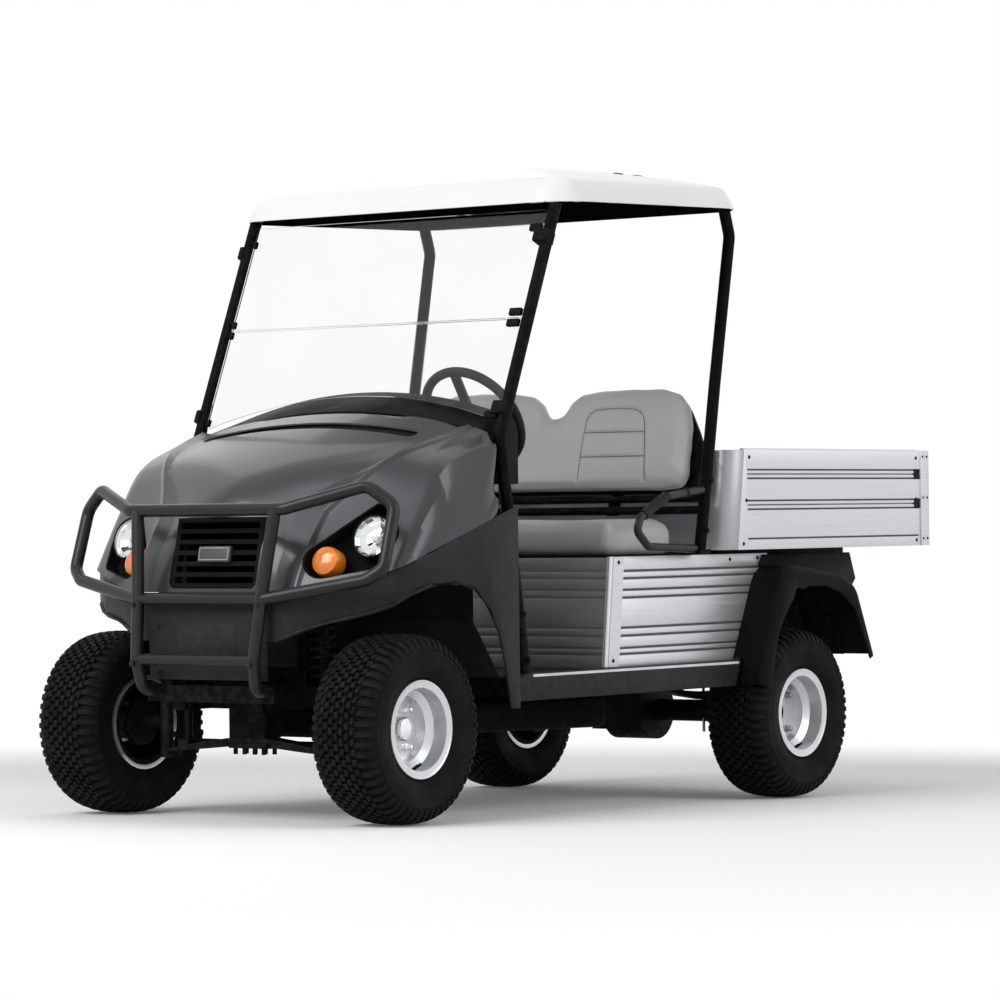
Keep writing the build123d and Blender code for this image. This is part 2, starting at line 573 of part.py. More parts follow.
def roof_form(inset):
    """The canopy's outer form: a drafted outline under two crowns."""
    w, l = ROOF_HALF - inset, (ROOF_REAR - ROOF_FRONT) / 2 - inset
    outline = fillet(Rectangle(2 * w, 2 * l).vertices(), ROOF_CORNER - inset)
    base = extrude(outline, amount=ROOF_H - inset, taper=ROOF_DRAFT)
    over = Face(Wire([
        Line((-w, -l - 5, -5), (-w, l + 5, -5)).edge(),
        Line((-w, l + 5, -5), (-w, l + 5, 52 - inset)).edge(),
        ThreePointArc((-w, l + 5, 52 - inset), (-w, 0, ROOF_H - inset),
                      (-w, -l - 5, 66 - inset)).edge(),
        Line((-w, -l - 5, 66 - inset), (-w, -l - 5, -5)).edge()]))
    base = base & Solid.extrude(over, Vector(2 * w, 0, 0))
    across = Face(Wire([
        Line((-w - 5, -l, -5), (w + 5, -l, -5)).edge(),
        Line((w + 5, -l, -5), (w + 5, -l, 58 - inset)).edge(),
        ThreePointArc((w + 5, -l, 58 - inset), (0, -l, ROOF_H - inset + 1),
                      (-w - 5, -l, 58 - inset)).edge(),
        Line((-w - 5, -l, 58 - inset), (-w - 5, -l, -5)).edge()]))
    return base & Solid.extrude(across, Vector(0, 2 * l, 0))


roof = roof_form(0) - Pos(0, 0, -0.01) * roof_form(ROOF_WALL)
add("roof", roof_at * roof)
inner = ROOF_WALL + GAP
liner = Rectangle(2 * (ROOF_HALF - inner), ROOF_REAR - ROOF_FRONT - 2 * inner)
liner = fillet(liner.vertices(), ROOF_CORNER - inner)
add("roof_liner", roof_at * extrude(liner, amount=8, taper=ROOF_DRAFT))

# Windshield in two panes with clips
GLASS_FOOT, GLASS_TOP = (-557.0, 1150.0), (-262.0, 1856.0)
PANE_HALF = STRUT_X - STRUT_R - GAP
run = Vector(0, GLASS_TOP[0] - GLASS_FOOT[0], GLASS_TOP[1] - GLASS_FOOT[1])
glass_plane = Plane((0, GLASS_FOOT[0], GLASS_FOOT[1]), x_dir=(1, 0, 0),
                    z_dir=Vector(1, 0, 0).cross(run.normalized()))
edge_x = BODY_HALF + 14
cowl_cut = Face(Wire([
    Line((-edge_x, -800, 1100), (edge_x, -800, 1100)).edge(),
    Line((edge_x, -800, 1100), (edge_x, -800, 1176)).edge(),
    ThreePointArc((edge_x, -800, 1176), (0, -800, 1288), (-edge_x, -800, 1176)).edge(),
    Line((-edge_x, -800, 1176), (-edge_x, -800, 1100)).edge()]))
cowl_cut = Solid.extrude(cowl_cut, Vector(0, 500, 0))
SPLIT = 390.0          # the panes meet this far up the glass
for low, top in ((20, SPLIT - 2), (SPLIT + 2, run.length - 12)):
    pane = glass_plane * (Pos(0, (low + top) / 2, 0) * Box(2 * PANE_HALF, top - low, GLASS_T))
    add("windshield", pane - cowl_cut, at=NOSE)
for s in (-1, 1):
    for along in (70, SPLIT - 18, SPLIT + 18, 690):
        clip = glass_plane * (Pos(s * (PANE_HALF - 19), along, GLASS_T / 2 + 7) * Box(30, 26, 14))
        add("windshield_clips", clip, at=NOSE)

# Rear fenders: a lipped flare swept over the wheel, below a flat wall
FLARE = ((712, 362), (728, 441), (868, 752), (1195, 712), (1290, 672), (1396, 440))
OPENING = ((757, 340), (781, 441), (805, 523), (844, 579), (906, 644), (990, 674),
           (1098, 671), (1191, 646), (1268, 593), (1352, 442), (1396, 340))
WALL = ((880, 742), (908, 778), (1429, 778), (1465, 690), (1340, 560), (1318, 600),
        (1288, 666), (1195, 708))
FLARE_BEND, FLARE_DEEP, FLARE_ROUND, FLARE_SKIN = 100.0, 75.0, 28.0, 6.0
flare_in, bulge = PANEL_X + GAP, FENDER_X - FLARE_ROUND


def lip_arc(r):
    """The lip's rounded shoulder at a radius, from its top to its face."""
    c = r * cos(radians(45))
    return ThreePointArc((bulge, FLARE_ROUND - r), (bulge + c, FLARE_ROUND - c),
                         (bulge + r, FLARE_ROUND)).edge()


lip_in = FENDER_X - FLARE_SKIN
lip = Face(Wire([
    Line((flare_in, 0), (bulge, 0)).edge(), lip_arc(FLARE_ROUND),
    Line((FENDER_X, FLARE_ROUND), (FENDER_X, FLARE_DEEP)).edge(),
    Line((FENDER_X, FLARE_DEEP), (lip_in, FLARE_DEEP)).edge(),
    Line((lip_in, FLARE_DEEP), (lip_in, FLARE_ROUND)).edge(), lip_arc(FLARE_ROUND - FLARE_SKIN),
    Line((bulge, FLARE_SKIN), (flare_in, FLARE_SKIN)).edge(),
    Line((flare_in, FLARE_SKIN), (flare_in, 0)).edge()]))
route = FilletPolyline(*[(0, y, z) for y, z in FLARE], radius=FLARE_BEND)
flare = sweep(Plane(route @ 0, x_dir=(1, 0, 0), z_dir=route % 0) * lip, path=route)
flare -= side(OPENING, bulge, FENDER_X + 1)
flare -= box(0, SILL_X + 10, 400, 760, 300, SILL_TOP + 6)
wall = side(WALL, flare_in, PANEL_X + 8)
add("rear_fenders", *both(flare + wall), at=TAIL)
add("tail_lamps", *both(rod((440, 1480, 585), (440, 1500, 585), 44)), at=TAIL)

# Bed of extruded planks, with corner posts
inside = BED_HALF - BED_WALL - GAP
floor = box(-inside, inside, BED_FRONT + 31.6, BED_REAR - 42, 800, 806)
for s in (-1, 1):
    a, b = sorted((s * RAIL_IN, s * RAIL_OUT))
    floor += box(a, b, BED_FRONT + 40, HINGE_Y, 790 + GAP, 800)
    a, b = sorted((s * (RAIL_OUT + 5), s * (RAIL_OUT + 15)))
    ear = side([(HINGE_Y - 24, 801), (HINGE_Y + 24, 801), (HINGE_Y + 24, HINGE_Z - 24),
                (HINGE_Y - 24, HINGE_Z - 24)], a, b)
    ear -= rod((s * RAIL_IN, HINGE_Y, HINGE_Z), (s * (RAIL_OUT + 35), HINGE_Y, HINGE_Z),
               HINGE_R + GAP)
    floor += ear
add("bed_floor", floor, at=TAIL)

BED_RIBS = (1054, 1040, 1026, 954, 940, 926, 831)
GROOVE_HALF, GROOVE_DEEP = 3.0, 4.0
SIDE_FRONT = 662.0
wallside = side([(SIDE_FRONT, BED_LOW), (BED_REAR, BED_LOW), (BED_REAR, BED_TOP),
                 (SIDE_FRONT + BED_LEAN * (BED_TOP - BED_LOW), BED_TOP)],
                BED_HALF - BED_WALL, BED_HALF)
for z in BED_RIBS:
    wallside -= box(BED_HALF - GROOVE_DEEP, BED_HALF + 1, 720, BED_REAR - 60,
                    z - GROOVE_HALF, z + GROOVE_HALF)
wallside += box(BED_HALF - BED_WALL, BED_HALF + 5, BED_REAR - 52, BED_REAR, BED_LOW, BED_TOP + 3)
wallside += rod((BED_HALF - 10, GATE_HINGE_Y, GATE_HINGE_Z),
                (GATE_HALF - 9, GATE_HINGE_Y, GATE_HINGE_Z), GATE_PIN_R)
add("bed_sides", *both(wallside), at=TAIL)
head = fillet(Rectangle(2 * BED_HALF, 150).vertices(), 62)
head -= Pos(0, 30) * Rectangle(2 * (BED_HALF - BED_WALL), 150)
head -= Pos(0, 100) * Rectangle(2 * FAR, 218 + 2 * GAP)
head = Pos(0, BED_FRONT + 75, BED_LOW) * head
headboard = Solid.extrude(head.face(), Vector(0, BED_LEAN * (BED_TOP - BED_LOW), BED_TOP - BED_LOW))
add("bed_front", headboard, at=TAIL)

gate = box(-GATE_HALF, GATE_HALF, BED_REAR - BED_WALL, BED_REAR, GATE_LOW, BED_TOP - 6)
for s in (-1, 1):
    gate -= rod((s * (GATE_HALF - 11), GATE_HINGE_Y, GATE_HINGE_Z),
                (s * (GATE_HALF + 9), GATE_HINGE_Y, GATE_HINGE_Z), GATE_PIN_R + GAP)
for z in (1054, 1026, 954, 926):
    gate -= box(51 - GATE_HALF, GATE_HALF - 51, BED_REAR - GROOVE_DEEP, BED_REAR + 1,
                z - GROOVE_HALF, z + GROOVE_HALF)
add("tailgate", gate, at=TAIL)

# Knuckles and tie rod
HUB_X = FRONT_TRACK / 2 - HUB_IN
TIE_X = KINGPIN_X - 22
TIE_Y = FRONT_Y + ARM_BACK
knuckle = rod((KINGPIN_X, FRONT_Y, KINGPIN_LOW + GAP), (KINGPIN_X, FRONT_Y, KINGPIN_TOP - GAP), KINGPIN_R)
knuckle += rod((KINGPIN_X, FRONT_Y, FRONT_Z), (HUB_X - GAP, FRONT_Y, FRONT_Z), 20)
knuckle += rod((HUB_X - 21, FRONT_Y, FRONT_Z), (HUB_X - 5, FRONT_Y, FRONT_Z), 70)
knuckle += box(TIE_X - 12, TIE_X + 12, FRONT_Y, TIE_Y + 14, TIE_Z + 20, TIE_Z + 36)
tie = rod((-TIE_X, TIE_Y, TIE_Z), (TIE_X, TIE_Y, TIE_Z), 11)
for s in (-1, 1):
    tie += rod((s * TIE_X, TIE_Y, TIE_Z - 14), (s * TIE_X, TIE_Y, TIE_Z + 20 - GAP), 15)
for name, shape in zip(("left", "right"), both(knuckle)):
    add("knuckle_" + name, shape)
add("tie_rod", tie)

# Wheels and tyres
BARREL = (
    # across, radius
    (-RIM_HALF, RIM_R), (-BEAD_X, RIM_R), (-BEAD_X, BEAD_R), (-64, 124), (-48, DROP_R),
    (30, DROP_R), (46, 124), (BEAD_X, BEAD_R), (BEAD_X, RIM_R), (RIM_HALF, RIM_R),
    (RIM_HALF, 137), (RIM_HALF - 2, 121), (50, 117), (34, 97), (-52, 97), (-68, 117),
    (2 - RIM_HALF, 121), (-RIM_HALF, 137),
)
SHOULDER, TREAD_EDGE, TREAD_HALF = TYRE_HALF - 9, TYRE_HALF - 21, TYRE_HALF - 40
INNER_HALF, TOE_X = TYRE_HALF - 30, BEAD_X - 20


def tyre(x, y, z):
    """A hollow casing with its beads on the rim."""
    def arc(a, b, c):
        return ThreePointArc(*[(x + q[0], y, z + q[1]) for q in (a, b, c)]).edge()

    def line(a, b):
        return Line(*[(x + q[0], y, z + q[1]) for q in (a, b)]).edge()

    h, bead, toe = TYRE_HALF, BEAD_X - GAP, BEAD_R + GAP
    out = [line((bead, toe), (bead, 146)),
           arc((bead, 146), (h, 204), (SHOULDER, 254)),
           arc((SHOULDER, 254), (TREAD_EDGE, 268), (TREAD_HALF, 273)),
           arc((TREAD_HALF, 273), (0, TYRE_R), (-TREAD_HALF, 273)),
           arc((-TREAD_HALF, 273), (-TREAD_EDGE, 268), (-SHOULDER, 254)),
           arc((-SHOULDER, 254), (-h, 204), (-bead, 146)),
           line((-bead, 146), (-bead, toe)),
           line((-bead, toe), (-TOE_X, toe)),
           line((-TOE_X, toe), (-TOE_X, 146)),
           arc((-TOE_X, 146), (TYRE_WALL - h, 204), (-INNER_HALF, 252)),
           line((-INNER_HALF, 252), (INNER_HALF, 252)),
           arc((INNER_HALF, 252), (h - TYRE_WALL, 204), (TOE_X, 146)),
           line((TOE_X, 146), (TOE_X, toe)),
           line((TOE_X, toe), (bead, toe))]
    return Solid.revolve(Face(Wire(out)), 360, Axis((x, y, z), (1, 0, 0)))


DISC_OUT = DISC_X + DISC_T
for end, track, y, z in (("front", FRONT_TRACK, FRONT_Y, FRONT_Z),
                         ("rear", REAR_TRACK, REAR_Y, REAR_Z)):
    x = track / 2
    rim = turned(BARREL, x, y, z)
    rim += turned([(DISC_X, 0), (DISC_X, 99), (DISC_OUT, 99), (DISC_OUT, 0)], x, y, z)
    if end == "front":
        rim += turned([(-HUB_IN, 0), (-HUB_IN, 52), (DISC_X, 52), (DISC_X, 0)], x, y, z)
        rim += turned([(DISC_X, 0), (DISC_X, 46), (DISC_X + 14, 46), (DISC_X + 16, 36),
                       (DISC_X + 44, 34), (DISC_X + 52, 24), (DISC_X + 54, 0)], x, y, z)
    else:
        hub = FLANGE_X + 0.5 - x
        rim += turned([(hub, 0), (hub, 60), (DISC_X, 60), (DISC_X, 0)], x, y, z)
        rim -= turned([(DISC_X - 54, 0), (DISC_X - 54, 36), (DISC_OUT + 2, 36), (DISC_OUT + 2, 0)], x, y, z)
    for a in range(4):
        t = radians(45 + 90 * a)
        p = (x + DISC_X - 1, y + BOLT_CIRCLE_R * cos(t), z + BOLT_CIRCLE_R * sin(t))
        rim -= rod(p, (x + DISC_OUT + 2, p[1], p[2]), BOLT_R)
    for name, shape, casing in zip(("left", "right"), both(rim), both(tyre(x, y, z))):
        add(f"wheel_{end}_{name}", shape)
        add(f"tyre_{end}_{name}", casing)

for name, solids in nodes.items():
    pieces = []
    for shape in solids:
        pieces.extend(shape.solids())
    placed = [PLACE * p for p in pieces]
    export_step(Compound(placed) if len(placed) > 1 else placed[0], f"parts/{name}.step")
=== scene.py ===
"""Looks of an open utility vehicle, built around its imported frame."""

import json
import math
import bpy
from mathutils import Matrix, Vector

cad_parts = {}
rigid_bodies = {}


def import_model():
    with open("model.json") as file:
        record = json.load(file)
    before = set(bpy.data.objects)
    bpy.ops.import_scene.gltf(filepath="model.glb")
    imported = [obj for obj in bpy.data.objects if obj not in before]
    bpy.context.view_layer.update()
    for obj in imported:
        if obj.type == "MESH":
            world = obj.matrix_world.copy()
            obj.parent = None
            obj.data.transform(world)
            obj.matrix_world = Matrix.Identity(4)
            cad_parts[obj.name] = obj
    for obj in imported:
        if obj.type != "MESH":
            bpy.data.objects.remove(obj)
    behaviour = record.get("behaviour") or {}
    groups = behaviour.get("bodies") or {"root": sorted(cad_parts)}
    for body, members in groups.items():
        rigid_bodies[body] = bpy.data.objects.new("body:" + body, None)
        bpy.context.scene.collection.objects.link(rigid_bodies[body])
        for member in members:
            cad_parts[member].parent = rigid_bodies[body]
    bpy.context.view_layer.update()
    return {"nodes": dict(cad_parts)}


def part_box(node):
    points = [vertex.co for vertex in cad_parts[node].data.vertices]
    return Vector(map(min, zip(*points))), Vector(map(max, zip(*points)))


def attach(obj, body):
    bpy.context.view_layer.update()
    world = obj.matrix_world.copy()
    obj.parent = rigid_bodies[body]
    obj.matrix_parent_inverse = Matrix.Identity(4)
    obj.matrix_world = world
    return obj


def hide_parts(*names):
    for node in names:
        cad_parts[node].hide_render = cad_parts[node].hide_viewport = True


bl_info = {
    "name": "Utility Vehicle",
    "version": (1, 0, 0),
    "blender": (4, 5, 0),
    "location": "View3D > Sidebar > Vehicle",
    "description": "Dresses the utility vehicle's frame with its finishes and fine pieces",
    "category": "Object",
}

import bmesh
import bpy
import numpy as np
from bpy.props import FloatProperty, FloatVectorProperty, IntProperty, PointerProperty
from mathutils import Matrix, Vector
from mathutils.bvhtree import BVHTree

for spare in list(bpy.data.objects):
    bpy.data.objects.remove(spare)
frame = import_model()
NODES = frame["nodes"]

MM = 0.001
RAKE = math.radians(1.17)
PIVOT_Z = 0.4
SHIFT_Y = -0.285
# The body is drawn level and stands nose-low on its tyres
BODY = (Matrix.Translation((0, SHIFT_Y, PIVOT_Z)) @ Matrix.Rotation(RAKE, 4, "X")
        @ Matrix.Translation((0, 0, -PIVOT_Z)))
GROUND = Matrix.Identity(4)
WHEELS = ("front_left", "front_right", "rear_left", "rear_right")
finishes = {}


class VehicleColours(bpy.types.PropertyGroup):
    """Colours that a user would change."""
    def colour(label, about, value):
        return FloatVectorProperty(name=label, description=about, default=value, size=3,
                                   subtype="COLOR", min=0.0, max=1.0)

    body: colour("Body", "Metallic grey of the hood", (0.050, 0.052, 0.056))
    cladding: colour("Cladding", "Moulded lower body and fenders", (0.0215, 0.0218, 0.0223))
    tube: colour("Tube", "Powder coat of guard, posts and frame", (0.013, 0.013, 0.0134))
    alloy: colour("Alloy", "Extruded bed and side panels", (0.65, 0.66, 0.685))
    vinyl: colour("Vinyl", "Seat covers", (0.50, 0.501, 0.502))
    canopy: colour("Canopy", "Moulded roof", (0.86, 0.86, 0.86))
    rubber: colour("Rubber", "Tyres", (0.0075, 0.0075, 0.0078))
    wheel: colour("Wheel", "Painted steel wheels", (0.70, 0.71, 0.73))
    amber: colour("Amber", "Turn lamps", (1.0, 0.27, 0.02))


class VehicleSizes(bpy.types.PropertyGroup):
    """Sizes that a user would change."""
    def length(label, about, value):
        return FloatProperty(name=label, description=about, default=value, unit="LENGTH", min=0.0)

    tread_depth: length("Tread depth", "Height of the turf blocks", 0.011)
    edge: length("Edge", "Rounding of pressed and moulded edges", 0.003)
    rivet: length("Rivet", "Radius of the panel rivets", 0.0065)
    crown: length("Seat crown", "How far the seat covers swell", 0.024)
    pitches: IntProperty(name="Tread pitches", description="Blocks round the tyre", default=56, min=8)


def colours():
    return bpy.context.scene.vehicle_colours


def sizes():
    return bpy.context.scene.vehicle_sizes


# Shared shader groups
def group(name, inputs, outputs):
    """A new shader group with named sockets, and its two end nodes."""
    tree = bpy.data.node_groups.new(name, "ShaderNodeTree")
    for label, kind, value in inputs:
        socket = tree.interface.new_socket(label, in_out="INPUT", socket_type=kind)
        socket.default_value = value
    for label, kind in outputs:
        tree.interface.new_socket(label, in_out="OUTPUT", socket_type=kind)
    return tree, tree.nodes.new("NodeGroupInput"), tree.nodes.new("NodeGroupOutput")


COLOUR, FLOAT, VECTOR = "NodeSocketColor", "NodeSocketFloat", "NodeSocketVector"
GREY = (0.5, 0.5, 0.5, 1.0)


def stretched_noise(tree, ends, detail):
    """Noise on the piece's own coordinates, stretched by the group's inputs."""
    place = tree.nodes.new("ShaderNodeTexCoord")
    scaled = tree.nodes.new("ShaderNodeVectorMath")
    scaled.operation = "MULTIPLY"
    noise = tree.nodes.new("ShaderNodeTexNoise")
    noise.inputs["Detail"].default_value = detail
    tree.links.new(place.outputs["Object"], scaled.inputs[0])
    tree.links.new(ends.outputs["Stretch"], scaled.inputs[1])
    tree.links.new(scaled.outputs[0], noise.inputs["Vector"])
    tree.links.new(ends.outputs["Scale"], noise.inputs["Scale"])
    return noise


def mixed(tree, factor, first, second):
    mix = tree.nodes.new("ShaderNodeMix")
    mix.data_type = "RGBA"
    tree.links.new(factor, mix.inputs[0])
    tree.links.new(first, mix.inputs[6])
    tree.links.new(second, mix.inputs[7])
    return mix.outputs[2]


def ranged(tree, value, low, high, to_low, to_high):
    """A value mapped smoothly from one range to another."""
    ramp = tree.nodes.new("ShaderNodeMapRange")
    ramp.interpolation_type = "SMOOTHSTEP"
    tree.links.new(value, ramp.inputs["Value"])
    for label, given in (("From Min", low), ("From Max", high), ("To Min", to_low), ("To Max", to_high)):
        if isinstance(given, (int, float)):
            ramp.inputs[label].default_value = given
        else:
            tree.links.new(given, ramp.inputs[label])
    return ramp.outputs["Result"]


def times(tree, a, b):
    node = tree.nodes.new("ShaderNodeMath")
    node.operation = "MULTIPLY"
    tree.links.new(a, node.inputs[0])
    tree.links.new(b, node.inputs[1])
    return node.outputs[0]


def mottle_group():
    """Slow drift of colour and gloss over a surface."""
    tree, ins, outs = group("mottle", (
        ("Base", COLOUR, GREY), ("Shade", COLOUR, GREY), ("Scale", FLOAT, 6.0),
        ("Stretch", VECTOR, (1.0, 1.0, 1.0)), ("Low", FLOAT, 0.3), ("High", FLOAT, 0.5)),
        (("Color", COLOUR), ("Roughness", FLOAT)))
    noise = stretched_noise(tree, ins, 6.0)
    drift = ranged(tree, noise.outputs["Fac"], 0.32, 0.68, 0.0, 1.0)
    tree.links.new(mixed(tree, drift, ins.outputs["Base"], ins.outputs["Shade"]), outs.inputs["Color"])
    tree.links.new(ranged(tree, noise.outputs["Fac"], 0.3, 0.7, ins.outputs["Low"], ins.outputs["High"]),
                   outs.inputs["Roughness"])
    return tree


def grain_group():
    """Fine relief: noise along a stretch, or small moulded cells."""
    tree, ins, outs = group("grain", (
        ("Scale", FLOAT, 300.0), ("Stretch", VECTOR, (1.0, 1.0, 1.0)), ("Cells", FLOAT, 0.0)),
        (("Height", FLOAT),))
    noise = stretched_noise(tree, ins, 3.0)
    cells = tree.nodes.new("ShaderNodeTexVoronoi")
    tree.links.new(noise.inputs["Vector"].links[0].from_socket, cells.inputs["Vector"])
    tree.links.new(ins.outputs["Scale"], cells.inputs["Scale"])
    blend = tree.nodes.new("ShaderNodeMix")
    tree.links.new(ins.outputs["Cells"], blend.inputs[0])
    tree.links.new(noise.outputs["Fac"], blend.inputs[2])
    tree.links.new(cells.outputs["Distance"], blend.inputs[3])
    tree.links.new(blend.outputs[0], outs.inputs["Height"])
    return tree


def wear_group():
    """Rubbed edges: a paler colour where the surface bends sharply."""
    tree, ins, outs = group("edge_wear", (
        ("Color", COLOUR, GREY), ("Worn", COLOUR, GREY), ("Amount", FLOAT, 0.4),
        ("Scale", FLOAT, 40.0), ("Stretch", VECTOR, (1.0, 1.0, 1.0))), (("Color", COLOUR),))
    bend = tree.nodes.new("ShaderNodeNewGeometry")
    noise = stretched_noise(tree, ins, 4.0)
    edge = ranged(tree, bend.outputs["Pointiness"], 0.515, 0.60, 0.0, 1.0)
    patch = ranged(tree, noise.outputs["Fac"], 0.42, 0.62, 0.0, 1.0)
    mask = times(tree, times(tree, edge, patch), ins.outputs["Amount"])
    tree.links.new(mixed(tree, mask, ins.outputs["Color"], ins.outputs["Worn"]), outs.inputs["Color"])
    return tree


def dust_group():
    """Road dust that thins out with height above the ground."""
    tree, ins, outs = group("road_dust", (
        ("Color", COLOUR, GREY), ("Dust", COLOUR, GREY), ("Reach", FLOAT, 0.6), ("Amount", FLOAT, 0.2),
        ("Scale", FLOAT, 22.0), ("Stretch", VECTOR, (1.0, 1.0, 1.0))), (("Color", COLOUR),))
    noise = stretched_noise(tree, ins, 7.0)
    place = tree.nodes.new("ShaderNodeTexCoord")
    split = tree.nodes.new("ShaderNodeSeparateXYZ")
    tree.links.new(place.outputs["Object"], split.inputs[0])
    low = tree.nodes.new("ShaderNodeMapRange")
    tree.links.new(split.outputs["Z"], low.inputs["Value"])
    tree.links.new(ins.outputs["Reach"], low.inputs["From Max"])
    low.inputs["To Min"].default_value = 1.0
    low.inputs["To Max"].default_value = 0.0
    patch = ranged(tree, noise.outputs["Fac"], 0.38, 0.66, 0.0, 1.0)
    mask = times(tree, times(tree, low.outputs[0], patch), ins.outputs["Amount"])
    tree.links.new(mixed(tree, mask, ins.outputs["Color"], ins.outputs["Dust"]), outs.inputs["Color"])
    return tree


DUST = (0.26, 0.235, 0.20, 1.0)
groups = {}


def placed(tree, name, **values):
    """A shared group set down in a material with its own values."""
    node = tree.nodes.new("ShaderNodeGroup")
    node.node_tree = groups[name]
    for label, value in values.items():
        node.inputs[label.replace("_", " ")].default_value = value
    return node


def opaque(colour):
    return (colour[0], colour[1], colour[2], 1.0)


def surface(name, colour, low=0.35, high=0.55, shade=0.8, scale=6.0, stretch=(1, 1, 1), grain=300.0,
            grain_stretch=(1, 1, 1), cells=0.0, relief=0.05, wear=0.0, worn=(0.3, 0.3, 0.3),
            dust=0.0, reach=0.6, **shader):
    """A finish with drifting gloss, fine relief, rubbed edges and road dust."""
    material = bpy.data.materials.new(name)
    material.use_nodes = True
    tree = material.node_tree
    skin = tree.nodes["Principled BSDF"]
    drift = placed(tree, "mottle", Base=opaque(colour), Shade=opaque([c * shade for c in colour]),
                   Scale=scale, Stretch=stretch, Low=low, High=high)
    tint = drift.outputs["Color"]
    if wear:
        rubbed = placed(tree, "edge_wear", Worn=opaque(worn), Amount=wear)
        tree.links.new(tint, rubbed.inputs["Color"])
        tint = rubbed.outputs["Color"]
    if dust:
        dirt = placed(tree, "road_dust", Dust=DUST, Reach=reach, Amount=dust)
        tree.links.new(tint, dirt.inputs["Color"])
        tint = dirt.outputs["Color"]
    tree.links.new(tint, skin.inputs["Base Color"])
    tree.links.new(drift.outputs["Roughness"], skin.inputs["Roughness"])
    fine = placed(tree, "grain", Scale=grain, Stretch=grain_stretch, Cells=cells)
    bump = tree.nodes.new("ShaderNodeBump")
    bump.inputs["Strength"].default_value = relief
    bump.inputs["Distance"].default_value = 0.002
    tree.links.new(fine.outputs["Height"], bump.inputs["Height"])
    tree.links.new(bump.outputs["Normal"], skin.inputs["Normal"])
    for label, value in shader.items():
        skin.inputs[label.replace("_", " ")].default_value = value
    finishes[name] = material


def clear(name, colour, roughness, grain, relief, **shader):
    """A see-through finish with faint ripples."""
    surface(name, colour, low=roughness, high=roughness + 0.03, shade=0.96, scale=3.0, grain=grain,
            relief=relief, Transmission_Weight=1.0, **shader)


